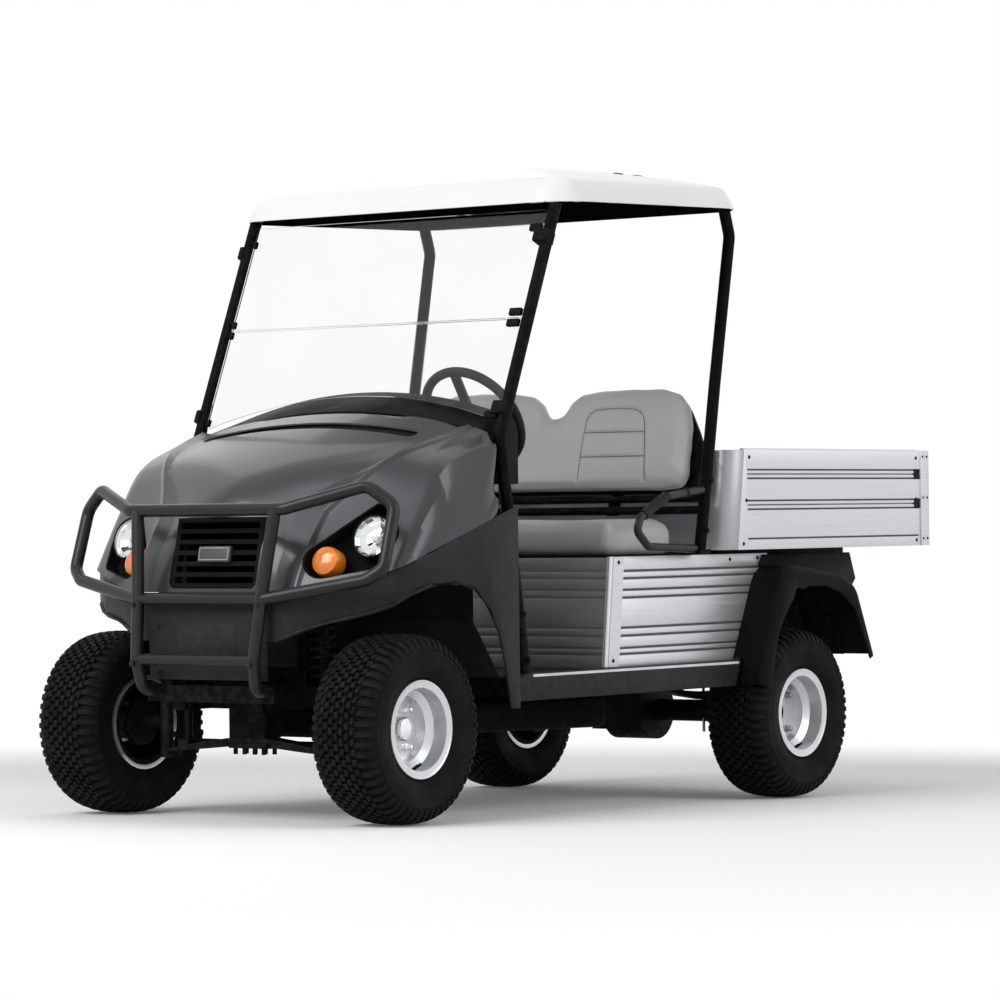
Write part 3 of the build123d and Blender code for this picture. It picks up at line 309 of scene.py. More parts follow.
def make_finishes():
    """All finishes, named as the record's material slots where they share one."""
    for name, build in (("mottle", mottle_group), ("grain", grain_group),
                        ("edge_wear", wear_group), ("road_dust", dust_group)):
        groups[name] = build()
    c = colours()
    along = (60.0, 1.2, 60.0)
    surface("body_grey", c.body, low=0.27, high=0.32, shade=0.93, scale=2.5, grain=900.0, relief=0.02,
            Metallic=0.5, Specular_IOR_Level=0.3, Coat_Weight=0.25, Coat_Roughness=0.05, Coat_IOR=1.4)
    surface("dark_plastic", c.cladding, low=0.42, high=0.52, shade=0.92, scale=4.0, grain=420.0, cells=0.7,
            relief=0.16, wear=0.3, worn=(0.05, 0.05, 0.05), dust=0.008, reach=0.8, Specular_IOR_Level=0.2,
            IOR=1.35)
    surface("black_plastic", [v * 0.38 for v in c.cladding], low=0.40, high=0.54, shade=0.92, scale=5.0,
            grain=480.0, cells=0.7, relief=0.14, wear=0.25, worn=(0.04, 0.04, 0.04), dust=0.008, reach=0.8,
            Specular_IOR_Level=0.14, IOR=1.22)
    surface("guard_black", c.tube, low=0.28, high=0.38, shade=0.92, scale=7.0, grain=160.0, relief=0.06,
            wear=0.35, worn=(0.06, 0.06, 0.06), Specular_IOR_Level=0.3, IOR=1.42, Coat_Weight=0.08,
            Coat_Roughness=0.12)
    surface("frame_black", [v * 0.3 for v in c.tube], low=0.45, high=0.6, shade=0.9, scale=9.0, grain=220.0,
            relief=0.08, wear=0.3, worn=(0.03, 0.029, 0.028), dust=0.012, reach=0.7,
            Specular_IOR_Level=0.15, IOR=1.22)
    surface("dark_steel", (0.009, 0.0088, 0.0086), low=0.45, high=0.62, shade=0.85, scale=14.0, grain=130.0,
            relief=0.2, wear=0.3, worn=(0.05, 0.048, 0.046), dust=0.015, reach=0.6, Metallic=0.3,
            Specular_IOR_Level=0.2, IOR=1.25)
    surface("floor_black", (0.014, 0.014, 0.0147), low=0.6, high=0.8, scale=8.0, grain=90.0,
            grain_stretch=(1, 0.05, 0.3), relief=0.3, dust=0.03, reach=0.9, Specular_IOR_Level=0.2, IOR=1.3)
    surface("wheel_grip", (0.012, 0.012, 0.0127), low=0.36, high=0.5, scale=9.0, grain=520.0, cells=0.8,
            relief=0.12, Specular_IOR_Level=0.25, IOR=1.35)
    surface("aluminium", c.alloy, low=0.38, high=0.48, shade=0.95, scale=3.0, stretch=along, grain=9.0,
            grain_stretch=along, relief=0.03, wear=0.25, worn=(0.74, 0.74, 0.75), dust=0.02, reach=0.8,
            Metallic=0.75)
    # Painted shade: a darker copy of the alloy for panels that face away from the light or would reflect too
    # brightly
    surface("alloy_painted_shade", [v * 0.62 for v in c.alloy], low=0.38, high=0.5, shade=0.92, scale=3.0,
            stretch=(1.2, 60, 60), grain=9.0, grain_stretch=(1.2, 60, 60), relief=0.03, dust=0.03, reach=0.8,
            Metallic=0.5)
    surface("rib_shade", [v * 0.10 for v in c.alloy], low=0.5, high=0.65, shade=0.7, scale=8.0,
            stretch=(30, 1, 30), grain=20.0, grain_stretch=along, relief=0.05, Metallic=0.3)
    surface("alloy_floor", [v * 0.75 for v in c.alloy], low=0.40, high=0.58, shade=0.86, scale=5.0,
            grain=30.0, grain_stretch=(1, 4, 1), relief=0.08, Metallic=0.8)
    surface("seat_vinyl", c.vinyl, low=0.44, high=0.58, shade=0.95, scale=5.0, grain=330.0, cells=0.75,
            relief=0.22, Sheen_Weight=0.08, Sheen_Roughness=0.4)
    surface("seam_thread", [v * 0.30 for v in c.vinyl], low=0.6, high=0.75, scale=30.0, grain=900.0,
            relief=0.3)
    surface("roof_white", c.canopy, low=0.28, high=0.36, shade=0.975, scale=2.0, grain=55.0, relief=0.03,
            Coat_Weight=0.25, Coat_Roughness=0.2)
    surface("roof_liner", (0.003, 0.003, 0.0032), low=0.75, high=0.9, scale=6.0, grain=600.0, cells=0.5,
            relief=0.15, Specular_IOR_Level=0.0, IOR=1.0)
    surface("tyre", c.rubber, low=0.58, high=0.76, shade=0.8, scale=12.0, grain=260.0, relief=0.16, wear=0.35,
            worn=(0.022, 0.0218, 0.0215), dust=0.015, reach=0.34, Specular_IOR_Level=0.16, IOR=1.32)
    surface("wheel_silver", c.wheel, low=0.24, high=0.34, shade=0.90, scale=7.0, grain=240.0, relief=0.04,
            wear=0.2, worn=(0.78, 0.78, 0.79), dust=0.05, reach=0.42, Metallic=0.8)
    surface("chrome", (0.86, 0.87, 0.88), low=0.06, high=0.14, shade=0.95, scale=9.0, grain=90.0,
            relief=0.015, Metallic=1.0)
    surface("bolt_zinc", (0.42, 0.41, 0.39), low=0.3, high=0.45, scale=40.0, grain=400.0, relief=0.08,
            Metallic=1.0)
    surface("blank_plate", (0.055, 0.056, 0.058), low=0.35, high=0.45, scale=20.0, grain=700.0, relief=0.05)
    surface("brass_pale", (0.50, 0.49, 0.30), low=0.35, high=0.45, scale=30.0, grain=500.0, relief=0.04)
    surface("strip_white", (0.82, 0.82, 0.83), low=0.3, high=0.4, scale=10.0, grain=200.0, relief=0.03)
    surface("red_lens", (0.42, 0.010, 0.010), low=0.10, high=0.16, scale=5.0, grain=220.0,
            grain_stretch=(1, 0.01, 0.01), relief=0.3, Coat_Weight=0.6)
    surface("amber_lens", c.amber, low=0.10, high=0.18, shade=0.75, scale=9.0, grain=190.0,
            grain_stretch=(1, 0.02, 0.02), relief=0.45, Coat_Weight=0.6, Subsurface_Weight=0.2)
    clear("glass", (0.97, 0.98, 0.977), 0.01, 5.0, 0.006, IOR=1.33)
    clear("clear_lens", (0.97, 0.98, 0.98), 0.02, 150.0, 0.10, IOR=1.35)


# Mesh helpers, in metres on the body frame unless another is given
def made(bm, name):
    """A bmesh as a new mesh; the bmesh is used up."""
    mesh = bpy.data.meshes.new(name)
    bm.to_mesh(mesh)
    bm.free()
    return mesh


def joined(bm, *others):
    """Adds other bmeshes, which are used up, to one."""
    for other in others:
        bm.from_mesh(made(other, "part"))


def span(side, low, high):
    """Two places across on one side, in rising order."""
    return sorted((low * side, high * side))


def rounded(bm, edges, offset, segments):
    """Edges rounded by a bevel."""
    return bmesh.ops.bevel(bm, geom=list(edges), offset=offset, offset_type="OFFSET", segments=segments,
                           profile=0.5, affect="EDGES", material=-1, clamp_overlap=True)


def slab(bm, points, way):
    """A flat outline drawn along a vector."""
    face = bm.faces.new([bm.verts.new(p) for p in points])
    grown = bmesh.ops.extrude_face_region(bm, geom=[face])["geom"]
    bmesh.ops.translate(bm, vec=way, verts=[v for v in grown if isinstance(v, bmesh.types.BMVert)])


def applied(mesh, steps):
    """A mesh with modifiers applied, each given by its kind and settings."""
    work = bpy.data.objects.new("work", mesh)
    bpy.context.scene.collection.objects.link(work)
    for kind, settings in steps:
        modifier = work.modifiers.new(kind, kind)
        for label, value in settings.items():
            setattr(modifier, label, value)
    bpy.context.view_layer.update()
    done = bpy.data.meshes.new_from_object(work.evaluated_get(bpy.context.evaluated_depsgraph_get()))
    bpy.data.objects.remove(work)
    return done


def settle(name, bm, rides, finish, replaces=(), matrix=BODY, smooth=35.0, turn=True):
    """Turns a bmesh into a piece that rides on a body."""
    if turn:
        bmesh.ops.recalc_face_normals(bm, faces=bm.faces)
    bm.transform(matrix)
    return adopt(name, made(bm, name), rides, finish, replaces, smooth)


def adopt(name, mesh, rides, finish, replaces=(), smooth=35.0):
    """Links a mesh as a piece that rides on a body, with its finish and slot."""
    piece = bpy.data.objects.new(name, mesh)
    bpy.context.scene.collection.objects.link(piece)
    mesh.materials.clear()
    mesh.materials.append(finishes[finish])
    mesh.shade_smooth()
    mesh.set_sharp_from_angle(angle=math.radians(smooth))
    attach(piece, rides)
    if replaces:
        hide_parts(*replaces)
    return piece


def aim(p, direction):
    """A frame at p whose z runs along a direction."""
    return Matrix.Translation(p) @ Vector(direction).to_track_quat("Z", "Y").to_matrix().to_4x4()


def bar(bm, p, q, r, segments=20, r2=None):
    """A round bar from p to q."""
    p, q = Vector(p), Vector(q)
    return bmesh.ops.create_cone(bm, cap_ends=True, cap_tris=False, segments=segments, radius1=r,
                                 radius2=r if r2 is None else r2, depth=(q - p).length,
                                 matrix=aim((p + q) / 2, q - p))["verts"]


def block(bm, low, high, edge=0.0, segments=2, matrix=None):
    """A box between two corners, with rounded edges."""
    low, high = Vector(low), Vector(high)
    extent = Matrix.Translation((low + high) / 2) @ Matrix.Diagonal((*(high - low), 1.0))
    verts = bmesh.ops.create_cube(bm, size=1.0, matrix=extent)["verts"]
    if edge:
        cut = rounded(bm, {e for v in verts for e in v.link_edges}, edge, segments)
        verts = list({v for v in verts if v.is_valid} | set(cut["verts"]))
    if matrix is not None:
        bmesh.ops.transform(bm, matrix=matrix, verts=verts)
    return verts


def lathe(bm, profile, matrix, steps=48):
    """A section (along, radius) spun about the z of a frame."""
    others = set(bm.verts)
    verts = [bm.verts.new((r, 0.0, z)) for z, r in profile]
    edges = [bm.edges.new(pair) for pair in zip(verts, verts[1:])]
    bmesh.ops.spin(bm, geom=verts + edges, cent=(0, 0, 0), axis=(0, 0, 1), dvec=(0, 0, 0), angle=2 * math.pi,
                   steps=steps, use_merge=True, use_duplicate=False)
    bmesh.ops.remove_doubles(bm, verts=[v for v in bm.verts if v not in others], dist=1e-6)
    bmesh.ops.transform(bm, matrix=matrix, verts=[v for v in bm.verts if v not in others])


def hose(bm, points, r, segments=12):
    """A round tube through points, with mitred bends."""
    points = [Vector(p) for p in points]
    rings = []
    for i, p in enumerate(points):
        before = (p - points[i - 1]).normalized() if i else None
        after = (points[i + 1] - p).normalized() if i + 1 < len(points) else None
        way = (before or after) + (after or before)
        rings.append(bmesh.ops.create_circle(bm, cap_ends=False, segments=segments, radius=r,
                                             matrix=aim(p, way))["verts"])
    for a, b in zip(rings, rings[1:]):
        start = min(range(segments), key=lambda k: (b[k].co - a[0].co).length)
        for k in range(segments):
            bm.faces.new((a[k], a[(k + 1) % segments], b[(start + k + 1) % segments],
                          b[(start + k) % segments]))
    bm.faces.new(rings[0])
    bm.faces.new(rings[-1])


def dome(bm, p, normal, r, height, segments=12):
    """A low round head, such as a rivet's."""
    profile = [(0.0, r), (height * 0.55, r * 0.86), (height * 0.9, r * 0.5), (height, 0.0)]
    lathe(bm, profile, aim(p, normal), segments)


def bolt(bm, p, normal, r, height):
    """A hexagon head on its washer."""
    n = Vector(normal).normalized()
    bar(bm, p, Vector(p) + n * height * 0.3, r * 1.35, 16)
    bar(bm, Vector(p) + n * height * 0.3, Vector(p) + n * height, r, 6, r * 0.92)


def softened(name, node, rides, finish, edge, sharp=30.0, smooth=40.0):
    """A solid's copy with its hard edges rounded, which stands for it."""
    bm = bmesh.new()
    bm.from_mesh(NODES[node].data)
    bmesh.ops.remove_doubles(bm, verts=bm.verts, dist=2e-5)
    bmesh.ops.dissolve_limit(bm, angle_limit=math.radians(0.6), verts=bm.verts, edges=bm.edges)
    hard = [e for e in bm.edges if len(e.link_faces) == 2 and e.calc_face_angle() > math.radians(sharp)]
    rounded(bm, hard, edge, 2)
    settle(name, bm, rides, finish, (node,), GROUND, smooth, turn=False)


def dressed(node, finish):
    """A solid that stays takes a finish of its own."""
    mesh = NODES[node].data
    mesh.materials.clear()
    mesh.materials.append(finishes[finish])


# Nose: the hood's own form as a blend of its crown, sides and front planes
HOOD_Y = np.array((-1230.0, -1050.0, -820.0, -600.0))
HOOD_HALF = np.array((585.0, 608.0, 622.0, 626.0))
HOOD_CROWN = np.array((900.0, 1040.0, 1160.0, 1237.0))
HOOD_DROP = np.array((60.0, 75.0, 80.0, 78.0))
COWL_Y = -600.0
GRILLE_P, GRILLE_N = np.array((0.0, -1162.0, 812.0)), np.array((0.0, -0.979, 0.203))
LAMP_P, LAMP_N = np.array((345.0, -1200.0, 670.0)), np.array((0.311, -0.798, 0.516))
LAMP_DIR = Vector((0.12, -0.95, 0.29)).normalized()
CREASES = np.array((
    # y, then x of the crease's inner and outer line, in millimetres
    (-1300, 245, 320), (-1138, 239, 317), (-1093, 232, 312), (-1043, 248, 318), (-1015, 278, 338),
    (-983, 317, 362), (-952, 355, 388), (-918, 392, 418), (-879, 420, 445), (-827, 443, 475),
    (-766, 460, 502), (-718, 474, 518), (-600, 492, 528)), dtype=float)
RIB_H, RIB_FALL, DISH, DISH_REACH = 10.0, 15.0, 4.0, 45.0
SIDE_BLEND, PLANE_BLEND, NOSE_BLEND = 52.0, 30.0, 36.0
FAN_X, FAN_SWEEP = 552.0, math.radians(80.0)
HOOD_ROWS, COWL_ROWS = 120, 44
HOOD_WALL = 0.0045
NOSE_AXIS = (-800.0, 700.0)
BAND = ((-1400, 690), (-1180, 700), (-1000, 785), (-690, 888), (-500, 948))


def smooth_max(a, b, k):
    """The greater of two, rounded where they meet."""
    return np.maximum(a, b) + np.maximum(k - np.abs(a - b), 0.0) ** 2 / (4 * k)


def step(x, a, b):
    """A smooth rise from nought at a to one at b."""
    t = np.clip((x - a) / (b - a), 0.0, 1.0)
    return t * t * (3 - 2 * t)


def creases(y):
    """The crease's inner and outer place across at y."""
    return np.interp(y, CREASES[:, 0], CREASES[:, 1]), np.interp(y, CREASES[:, 0], CREASES[:, 2])


def hood_out(p):
    """How far points stand outside the hood, in millimetres."""
    x, y, z = np.abs(p[..., 0]), p[..., 1], p[..., 2]
    at = np.clip(y, -1300.0, -560.0)
    half, crown, drop = (np.polyval(np.polyfit(HOOD_Y, row, 3), at)
                         for row in (HOOD_HALF, HOOD_CROWN, HOOD_DROP))
    big = (half ** 2 + drop ** 2) / (2 * drop)
    inner, outer = creases(at)
    ramp = np.clip((x - inner) / (outer - inner), 0.0, 1.0)
    rib = (RIB_H + DISH) * ramp - DISH - RIB_H * step(x, outer, outer + RIB_FALL)
    rise = np.where(x < inner, -DISH * np.exp(-((x - inner) / DISH_REACH) ** 2), rib)
    top = crown - big + np.sqrt(np.maximum(big ** 2 - np.minimum(x, half + 20) ** 2, 0.0)) + rise
    shell = smooth_max((z - top) * 0.93, x - half, SIDE_BLEND)
    grille = (p - GRILLE_P) @ (GRILLE_N / np.linalg.norm(GRILLE_N))
    lamp = (np.stack((x, y, z), -1) - LAMP_P) @ (LAMP_N / np.linalg.norm(LAMP_N))
    face = smooth_max(grille, lamp, PLANE_BLEND) - 0.6 * rise
    return np.maximum(smooth_max(shell, face, NOSE_BLEND), y - COWL_Y)


def hood_columns():
    """Places across one half: (kind, share), dense at the two creases."""
    columns = [("inner", s) for s in np.linspace(0.0, 0.93, 15)]
    columns += [("crease_in", s) for s in (-12, -9, -6, -3, 0, 3, 6)]
    columns += [("channel", s) for s in np.linspace(0.12, 0.9, 6)]
    columns += [("crease_out", s) for s in (-7, -3, 0, 4, 8, 12, 16)]
    columns += [("fan", s) for s in np.linspace(0.0, 1.0, 20)]
    return columns


def column_x(kind, share, y):
    """A column's place across at y."""
    inner, outer = creases(y)
    return {"inner": inner * share, "crease_in": inner + share,
            "channel": inner + (outer - inner) * share, "crease_out": outer + share,
            "fan": FAN_X + 0 * y}[kind]


def hood_points():
    """The hood's surface on a net of columns across and rows from cowl to bumper."""
    columns, rows = hood_columns(), HOOD_ROWS
    alpha = np.radians(np.concatenate((np.linspace(12, 80, COWL_ROWS),
                                       np.linspace(81.2, 186, rows - COWL_ROWS))))
    half = np.zeros((len(columns), rows, 3))
    for i, (kind, share) in enumerate(columns):
        beta = FAN_SWEEP * share if kind == "fan" else 0.0
        way = np.stack((np.full(rows, math.sin(beta)), math.cos(beta) * np.cos(alpha),
                        math.cos(beta) * np.sin(alpha)), -1)
        y = np.full(rows, -900.0)
        for _ in range(4):
            origin = np.stack((column_x(kind, share, y), np.full(rows, NOSE_AXIS[0]),
                               np.full(rows, NOSE_AXIS[1])), -1)
            near, far = np.zeros(rows), np.full(rows, 1500.0)
            for _ in range(34):
                mid = (near + far) / 2
                outside = hood_out(origin + way * mid[:, None]) > 0
                far = np.where(outside, mid, far)
                near = np.where(outside, near, mid)
            point = origin + way * near[:, None]
            y = point[:, 1]
        half[i] = point
    other = half[1:][::-1] * np.array((-1.0, 1.0, 1.0))
    return np.concatenate((other, half), 0)


def cutter(bm):
    """A hidden shape that a boolean takes away."""
    bmesh.ops.recalc_face_normals(bm, faces=bm.faces)
    tool = bpy.data.objects.new("cutter", made(bm, "cutter"))
    bpy.context.scene.collection.objects.link(tool)
    return tool


def carve(mesh, wall, tools=()):
    """A mesh given a wall's thickness, then cut by tools, which are used up."""
    steps = [("SOLIDIFY", {"thickness": wall, "offset": -1.0})]
    for tool in tools:
        steps.append(("BOOLEAN", {"operation": "DIFFERENCE", "solver": "MANIFOLD", "object": tool}))
    done = applied(mesh, steps)
    for tool in tools:
        bpy.data.objects.remove(tool)
    return done


def prism(outline, low, high):
    """A side outline (y, z) in millimetres, drawn across from low to high in metres."""
    bm = bmesh.new()
    slab(bm, [(low, y * MM, z * MM) for y, z in outline], (high - low, 0, 0))
    return bm


def lamp_at(x, z):
    """The lamp plane's point at x, z, in metres."""
    y = LAMP_P[1] - (LAMP_N[0] * (x - LAMP_P[0]) + LAMP_N[2] * (z - LAMP_P[2])) / LAMP_N[1]
    return Vector((x, y, z)) * MM


# x, z and lens radius of the head and turn lamps, in millimetres
HEAD_LAMP, TURN_LAMP = (478.0, 862.0, 66.0), (372.0, 792.0, 46.0)
LAMP_SINK = 0.024
# x, z and radius of the circles that a lamp pod spans
POD_RIMS = ((*HEAD_LAMP[:2], 82.0), (*TURN_LAMP[:2], 60.0), (474.0, 938.0, 22.0), (500.0, 800.0, 42.0))
POD_CUT = (-0.0005, -0.06, 0.12)


def flipped(point, side):
    """A point on one side of the vehicle."""
    return Vector((point[0] * side, point[1], point[2]))


def pod_form(side, inset, low, high):
    """The lamp pod's teardrop, drawn along the lamps' axis between two depths."""
    way = flipped(LAMP_DIR, side)
    bm = bmesh.new()
    for x, z, rim in POD_RIMS:
        for reach in (low, high):
            bmesh.ops.create_circle(bm, cap_ends=False, segments=48, radius=rim * MM - inset,
                                    matrix=aim(flipped(lamp_at(x, z), side) + way * reach, way))
    bmesh.ops.convex_hull(bm, input=bm.verts, use_existing_faces=False)
    bmesh.ops.delete(bm, geom=[e for e in bm.edges if not e.link_faces], context="EDGES")
    bmesh.ops.delete(bm, geom=[v for v in bm.verts if not v.link_faces], context="VERTS")
    return bm


def pod_cup(side):
    """The pod's dark cup, its open rim just under the hood's skin."""
    way = flipped(LAMP_DIR, side)
    bm = pod_form(side, 0.0015, -0.050, 0.06)
    reach = np.linspace(0.0, 0.15, 301)
    rim = set()
    for v in bm.verts:
        depths = [(v.co - flipped(lamp_at(x, z), side)).dot(way) for x, z, _ in POD_RIMS]
        if max(depths) > 0.03 and min(depths) > -0.02:
            line = np.array(v.co)[None, :] - np.array(way)[None, :] * reach[:, None]
            inside = hood_out(line * 1000.0) < -1.5
            v.co = Vector(line[int(np.argmax(inside))]) if inside.any() else v.co - way * 0.10
            rim.add(v)
    bmesh.ops.delete(bm, geom=[f for f in bm.faces if all(v in rim for v in f.verts)], context="FACES")
    bmesh.ops.recalc_face_normals(bm, faces=bm.faces)
    bmesh.ops.solidify(bm, geom=bm.faces[:], thickness=0.002)
    return bm


def hood_height(x, y):
    """The height of the hood's skin at x, y, in millimetres."""
    heights = np.linspace(600.0, 1320.0, 721)
    line = np.stack((np.full(721, float(x)), np.full(721, float(y)), heights), -1)
    return float(heights[hood_out(line) <= 0].max())


class VEHICLE_OT_hood(bpy.types.Operator):
    """Builds the hood's skin with its raised middle, creases and openings"""
    bl_idname = "vehicle.hood"
    bl_label = "Hood"

    def execute(self, context):
        net = hood_points() * MM
        bm = bmesh.new()
        bmesh.ops.create_grid(bm, x_segments=net.shape[0] - 1, y_segments=net.shape[1] - 1, size=1.0)
        order = sorted(bm.verts, key=lambda v: (round(v.co.x, 4), round(v.co.y, 4)))
        for vert, point in zip(order, net.reshape(-1, 3)):
            vert.co = point
        bmesh.ops.remove_doubles(bm, verts=bm.verts, dist=1e-5)
        bmesh.ops.recalc_face_normals(bm, faces=bm.faces)
        middle = max(bm.faces, key=lambda f: f.calc_center_median().z)
        if middle.normal.z < 0:
            bmesh.ops.reverse_faces(bm, faces=bm.faces)
        below = prism(list(BAND) + [(-500, 300), (-1400, 300)], -0.9, 0.9)
        grille, slot = bmesh.new(), bmesh.new()
        block(grille, (-0.169, -1.3, 0.711), (0.169, -1.05, 0.921), 0.02, 4)
        block(slot, (-0.415, -0.752, 1.05), (0.415, -0.700, 1.40), 0.0255, 5)
        pods = [pod_form(side, *POD_CUT) for side in (1, -1)]
        tools = [cutter(tool) for tool in (below, grille, slot, *pods)]
        skin = carve(made(bm, "hood_skin"), HOOD_WALL, tools)
        skin.transform(BODY)
        adopt("hood_skin", skin, "chassis", "body_grey", ("front_body",), 28.0)
        vent = bmesh.new()
        bmesh.ops.create_grid(vent, x_segments=28, y_segments=3, size=1.0)
        for v in vent.verts:
            x, y = v.co.x * 0.43, -0.726 + v.co.y * 0.036
            v.co = (x, y, (hood_height(x * 1000.0, y * 1000.0) - 11.0) * MM)
        bmesh.ops.solidify(vent, geom=vent.faces[:], thickness=0.003)
        settle("hood_vent", vent, "chassis", "black_plastic", turn=False)
        return {"FINISHED"}


class VEHICLE_OT_lamps(bpy.types.Operator):
    """Builds head and turn lamps with bowls, bulbs and lenses"""
    bl_idname = "vehicle.lamps"
    bl_label = "Lamps"

    def execute(self, context):
        bowl, lens, amber, bulb, ring = (bmesh.new() for _ in range(5))
        for side in (1, -1):
            way = flipped(LAMP_DIR, side)
            x, z, r = HEAD_LAMP
            seat, r = aim(flipped(lamp_at(x, z), side) - way * LAMP_SINK, way), r * MM
            lathe(bowl, [(-0.02, 0.0), (-0.019, 0.012), (-0.012, r * 0.5), (0.0, r * 0.8), (0.012, r * 0.94)],
                  seat, 14)
            lathe(ring, [(0.010, r * 0.93), (0.020, r * 0.93), (0.022, r * 0.97), (0.020, r), (-0.024, r),
                         (-0.024, r * 0.96), (0.010, r * 0.93)], seat, 48)
            lathe(lens, [(0.014, r * 0.92), (0.017, r * 0.92), (0.026, r * 0.72), (0.031, r * 0.4),
                         (0.0325, 0.0)], seat, 40)
            lathe(bulb, [(-0.016, 0.0), (-0.016, 0.014), (-0.004, 0.012), (0.004, 0.009), (0.009, 0.0)],
                  seat, 20)
            x, z, r = TURN_LAMP
            seat, r = aim(flipped(lamp_at(x, z), side) - way * LAMP_SINK, way), r * MM
            lathe(amber, [(-0.024, 0.0), (-0.024, r), (0.010, r), (0.022, r * 0.9), (0.029, r * 0.62),
                          (0.032, r * 0.3), (0.0325, 0.0)], seat, 44)
        bmesh.ops.solidify(lens, geom=lens.faces[:], thickness=0.0025)
        settle("headlamp_lenses", lens, "chassis", "clear_lens", ("headlamps",), turn=False)
        settle("headlamp_bowls", bowl, "chassis", "chrome", smooth=12.0)
        settle("headlamp_rings", ring, "chassis", "black_plastic")
        settle("headlamp_bulbs", bulb, "chassis", "strip_white")
        settle("turn_lamp_lenses", amber, "chassis", "amber_lens", ("amber_lamps",))
        tail, rims, pods = bmesh.new(), bmesh.new(), bmesh.new()
        for side in (1, -1):
            seat = aim((0.44 * side, 1.4795, 0.585), (0, 1, 0))
            lathe(tail, [(0.0, 0.0), (0.0, 0.040), (0.012, 0.040), (0.018, 0.034), (0.021, 0.018),
                         (0.0215, 0.0)], seat, 40)
            lathe(rims, [(0.0, 0.039), (0.016, 0.040), (0.017, 0.044), (0.0, 0.045), (0.0, 0.039)], seat, 40)
            joined(pods, pod_cup(side))
        settle("tail_lamp_lenses", tail, "chassis", "red_lens", ("tail_lamps",))
        settle("tail_lamp_rims", rims, "chassis", "black_plastic")
        settle("lamp_pods", pods, "chassis", "black_plastic", ("lamp_bezels",), turn=False)
        return {"FINISHED"}


ARCH_LIP = (
    # x, y, z along the cladding's lower edge, in millimetres
    (292, -1194, 571), (346, -1168, 592), (408, -1137, 614), (474, -1112, 626), (524, -1082, 640),
    (568, -1044, 659), (606, -983, 697), (627, -930, 715), (627, -820, 720), (627, -725, 701),
    (627, -661, 650), (627, -606, 570), (627, -575, 471), (627, -556, 380),
)


class VEHICLE_OT_front(bpy.types.Operator):
    """Builds the grille, blank badge plate, lower cladding and brush guard"""
    bl_idname = "vehicle.front"
    bl_label = "Front"

    def execute(self, context):
        softened("grille_slats", "grille", "chassis", "black_plastic", 0.002)
        tilt = Matrix.Translation((0, -1.1655, 0.812)) @ Matrix.Rotation(math.radians(-11.7), 4, "X")
        plate, rim = bmesh.new(), bmesh.new()
        block(plate, (-0.062, -0.006, -0.024), (0.062, 0.010, 0.024), 0.004, 3, tilt)
        settle("badge_plate_blank", plate, "chassis", "blank_plate")
        for low, high in (((-0.056, -0.0072, 0.0165), (0.056, -0.0055, 0.0185)),
                          ((-0.056, -0.0072, -0.0185), (0.056, -0.0055, -0.0165)),
                          ((-0.056, -0.0072, -0.0185), (-0.054, -0.0055, 0.0185)),
                          ((0.054, -0.0072, -0.0185), (0.056, -0.0055, 0.0185))):
            block(rim, low, high, 0.0, 1, tilt)
        settle("badge_rim", rim, "chassis", "brass_pale")
        # Painted shade: a dull near-black sheet behind the grille slats darkens the opening
        shade = bmesh.new()
        block(shade, (-0.165, -1.105, 0.72), (0.165, -1.095, 0.925))
        settle("grille_shade_sheet", shade, "chassis", "roof_liner")
        softened("cladding_front", "front_fascia", "chassis", "dark_plastic", 0.0025, 45.0, 55.0)
        dressed("brush_guard", "guard_black")
        bolts = bmesh.new()
        for side in (1, -1):
            for x, y, z in ((0.24, -1.262, 0.664), (0.228, -1.284, 0.49)):
                bolt(bolts, (x * side, y, z), (0, -1, 0), 0.007, 0.006)
            for z in (0.46, 0.60):
                bolt(bolts, (0.19 * side, -1.205, z), (0, -1, 0), 0.007, 0.005)
        settle("front_bolts", bolts, "chassis", "guard_black")
        lip = bmesh.new()
        for side in (1, -1):
            hose(lip, [(x * side * MM, y * MM, z * MM) for x, y, z in ARCH_LIP], 0.006, 8)
        settle("arch_lips", lip, "chassis", "dark_plastic", smooth=60.0)
        return {"FINISHED"}


# Tyres and wheels
CASING = (
    # across, radius in millimetres
    (-70, 128), (-88.5, 128), (-88.8, 146), (-93, 150), (-96, 151), (-97.5, 155), (-100, 159), (-107.5, 178),
    (-111.5, 196), (-112.5, 212), (-112, 222), (-113, 224), (-112.5, 227), (-111, 229), (-108.5, 241),
    (-101, 253), (-88, 260), (-45, 265), (0, 267),
)
TREAD_ROWS = (-57, -38, -19, 0, 19, 38, 57)
SHOULDER_LUG = ((68, 273.6), (84, 270.5), (97, 264.5), (107, 252), (113, 236))


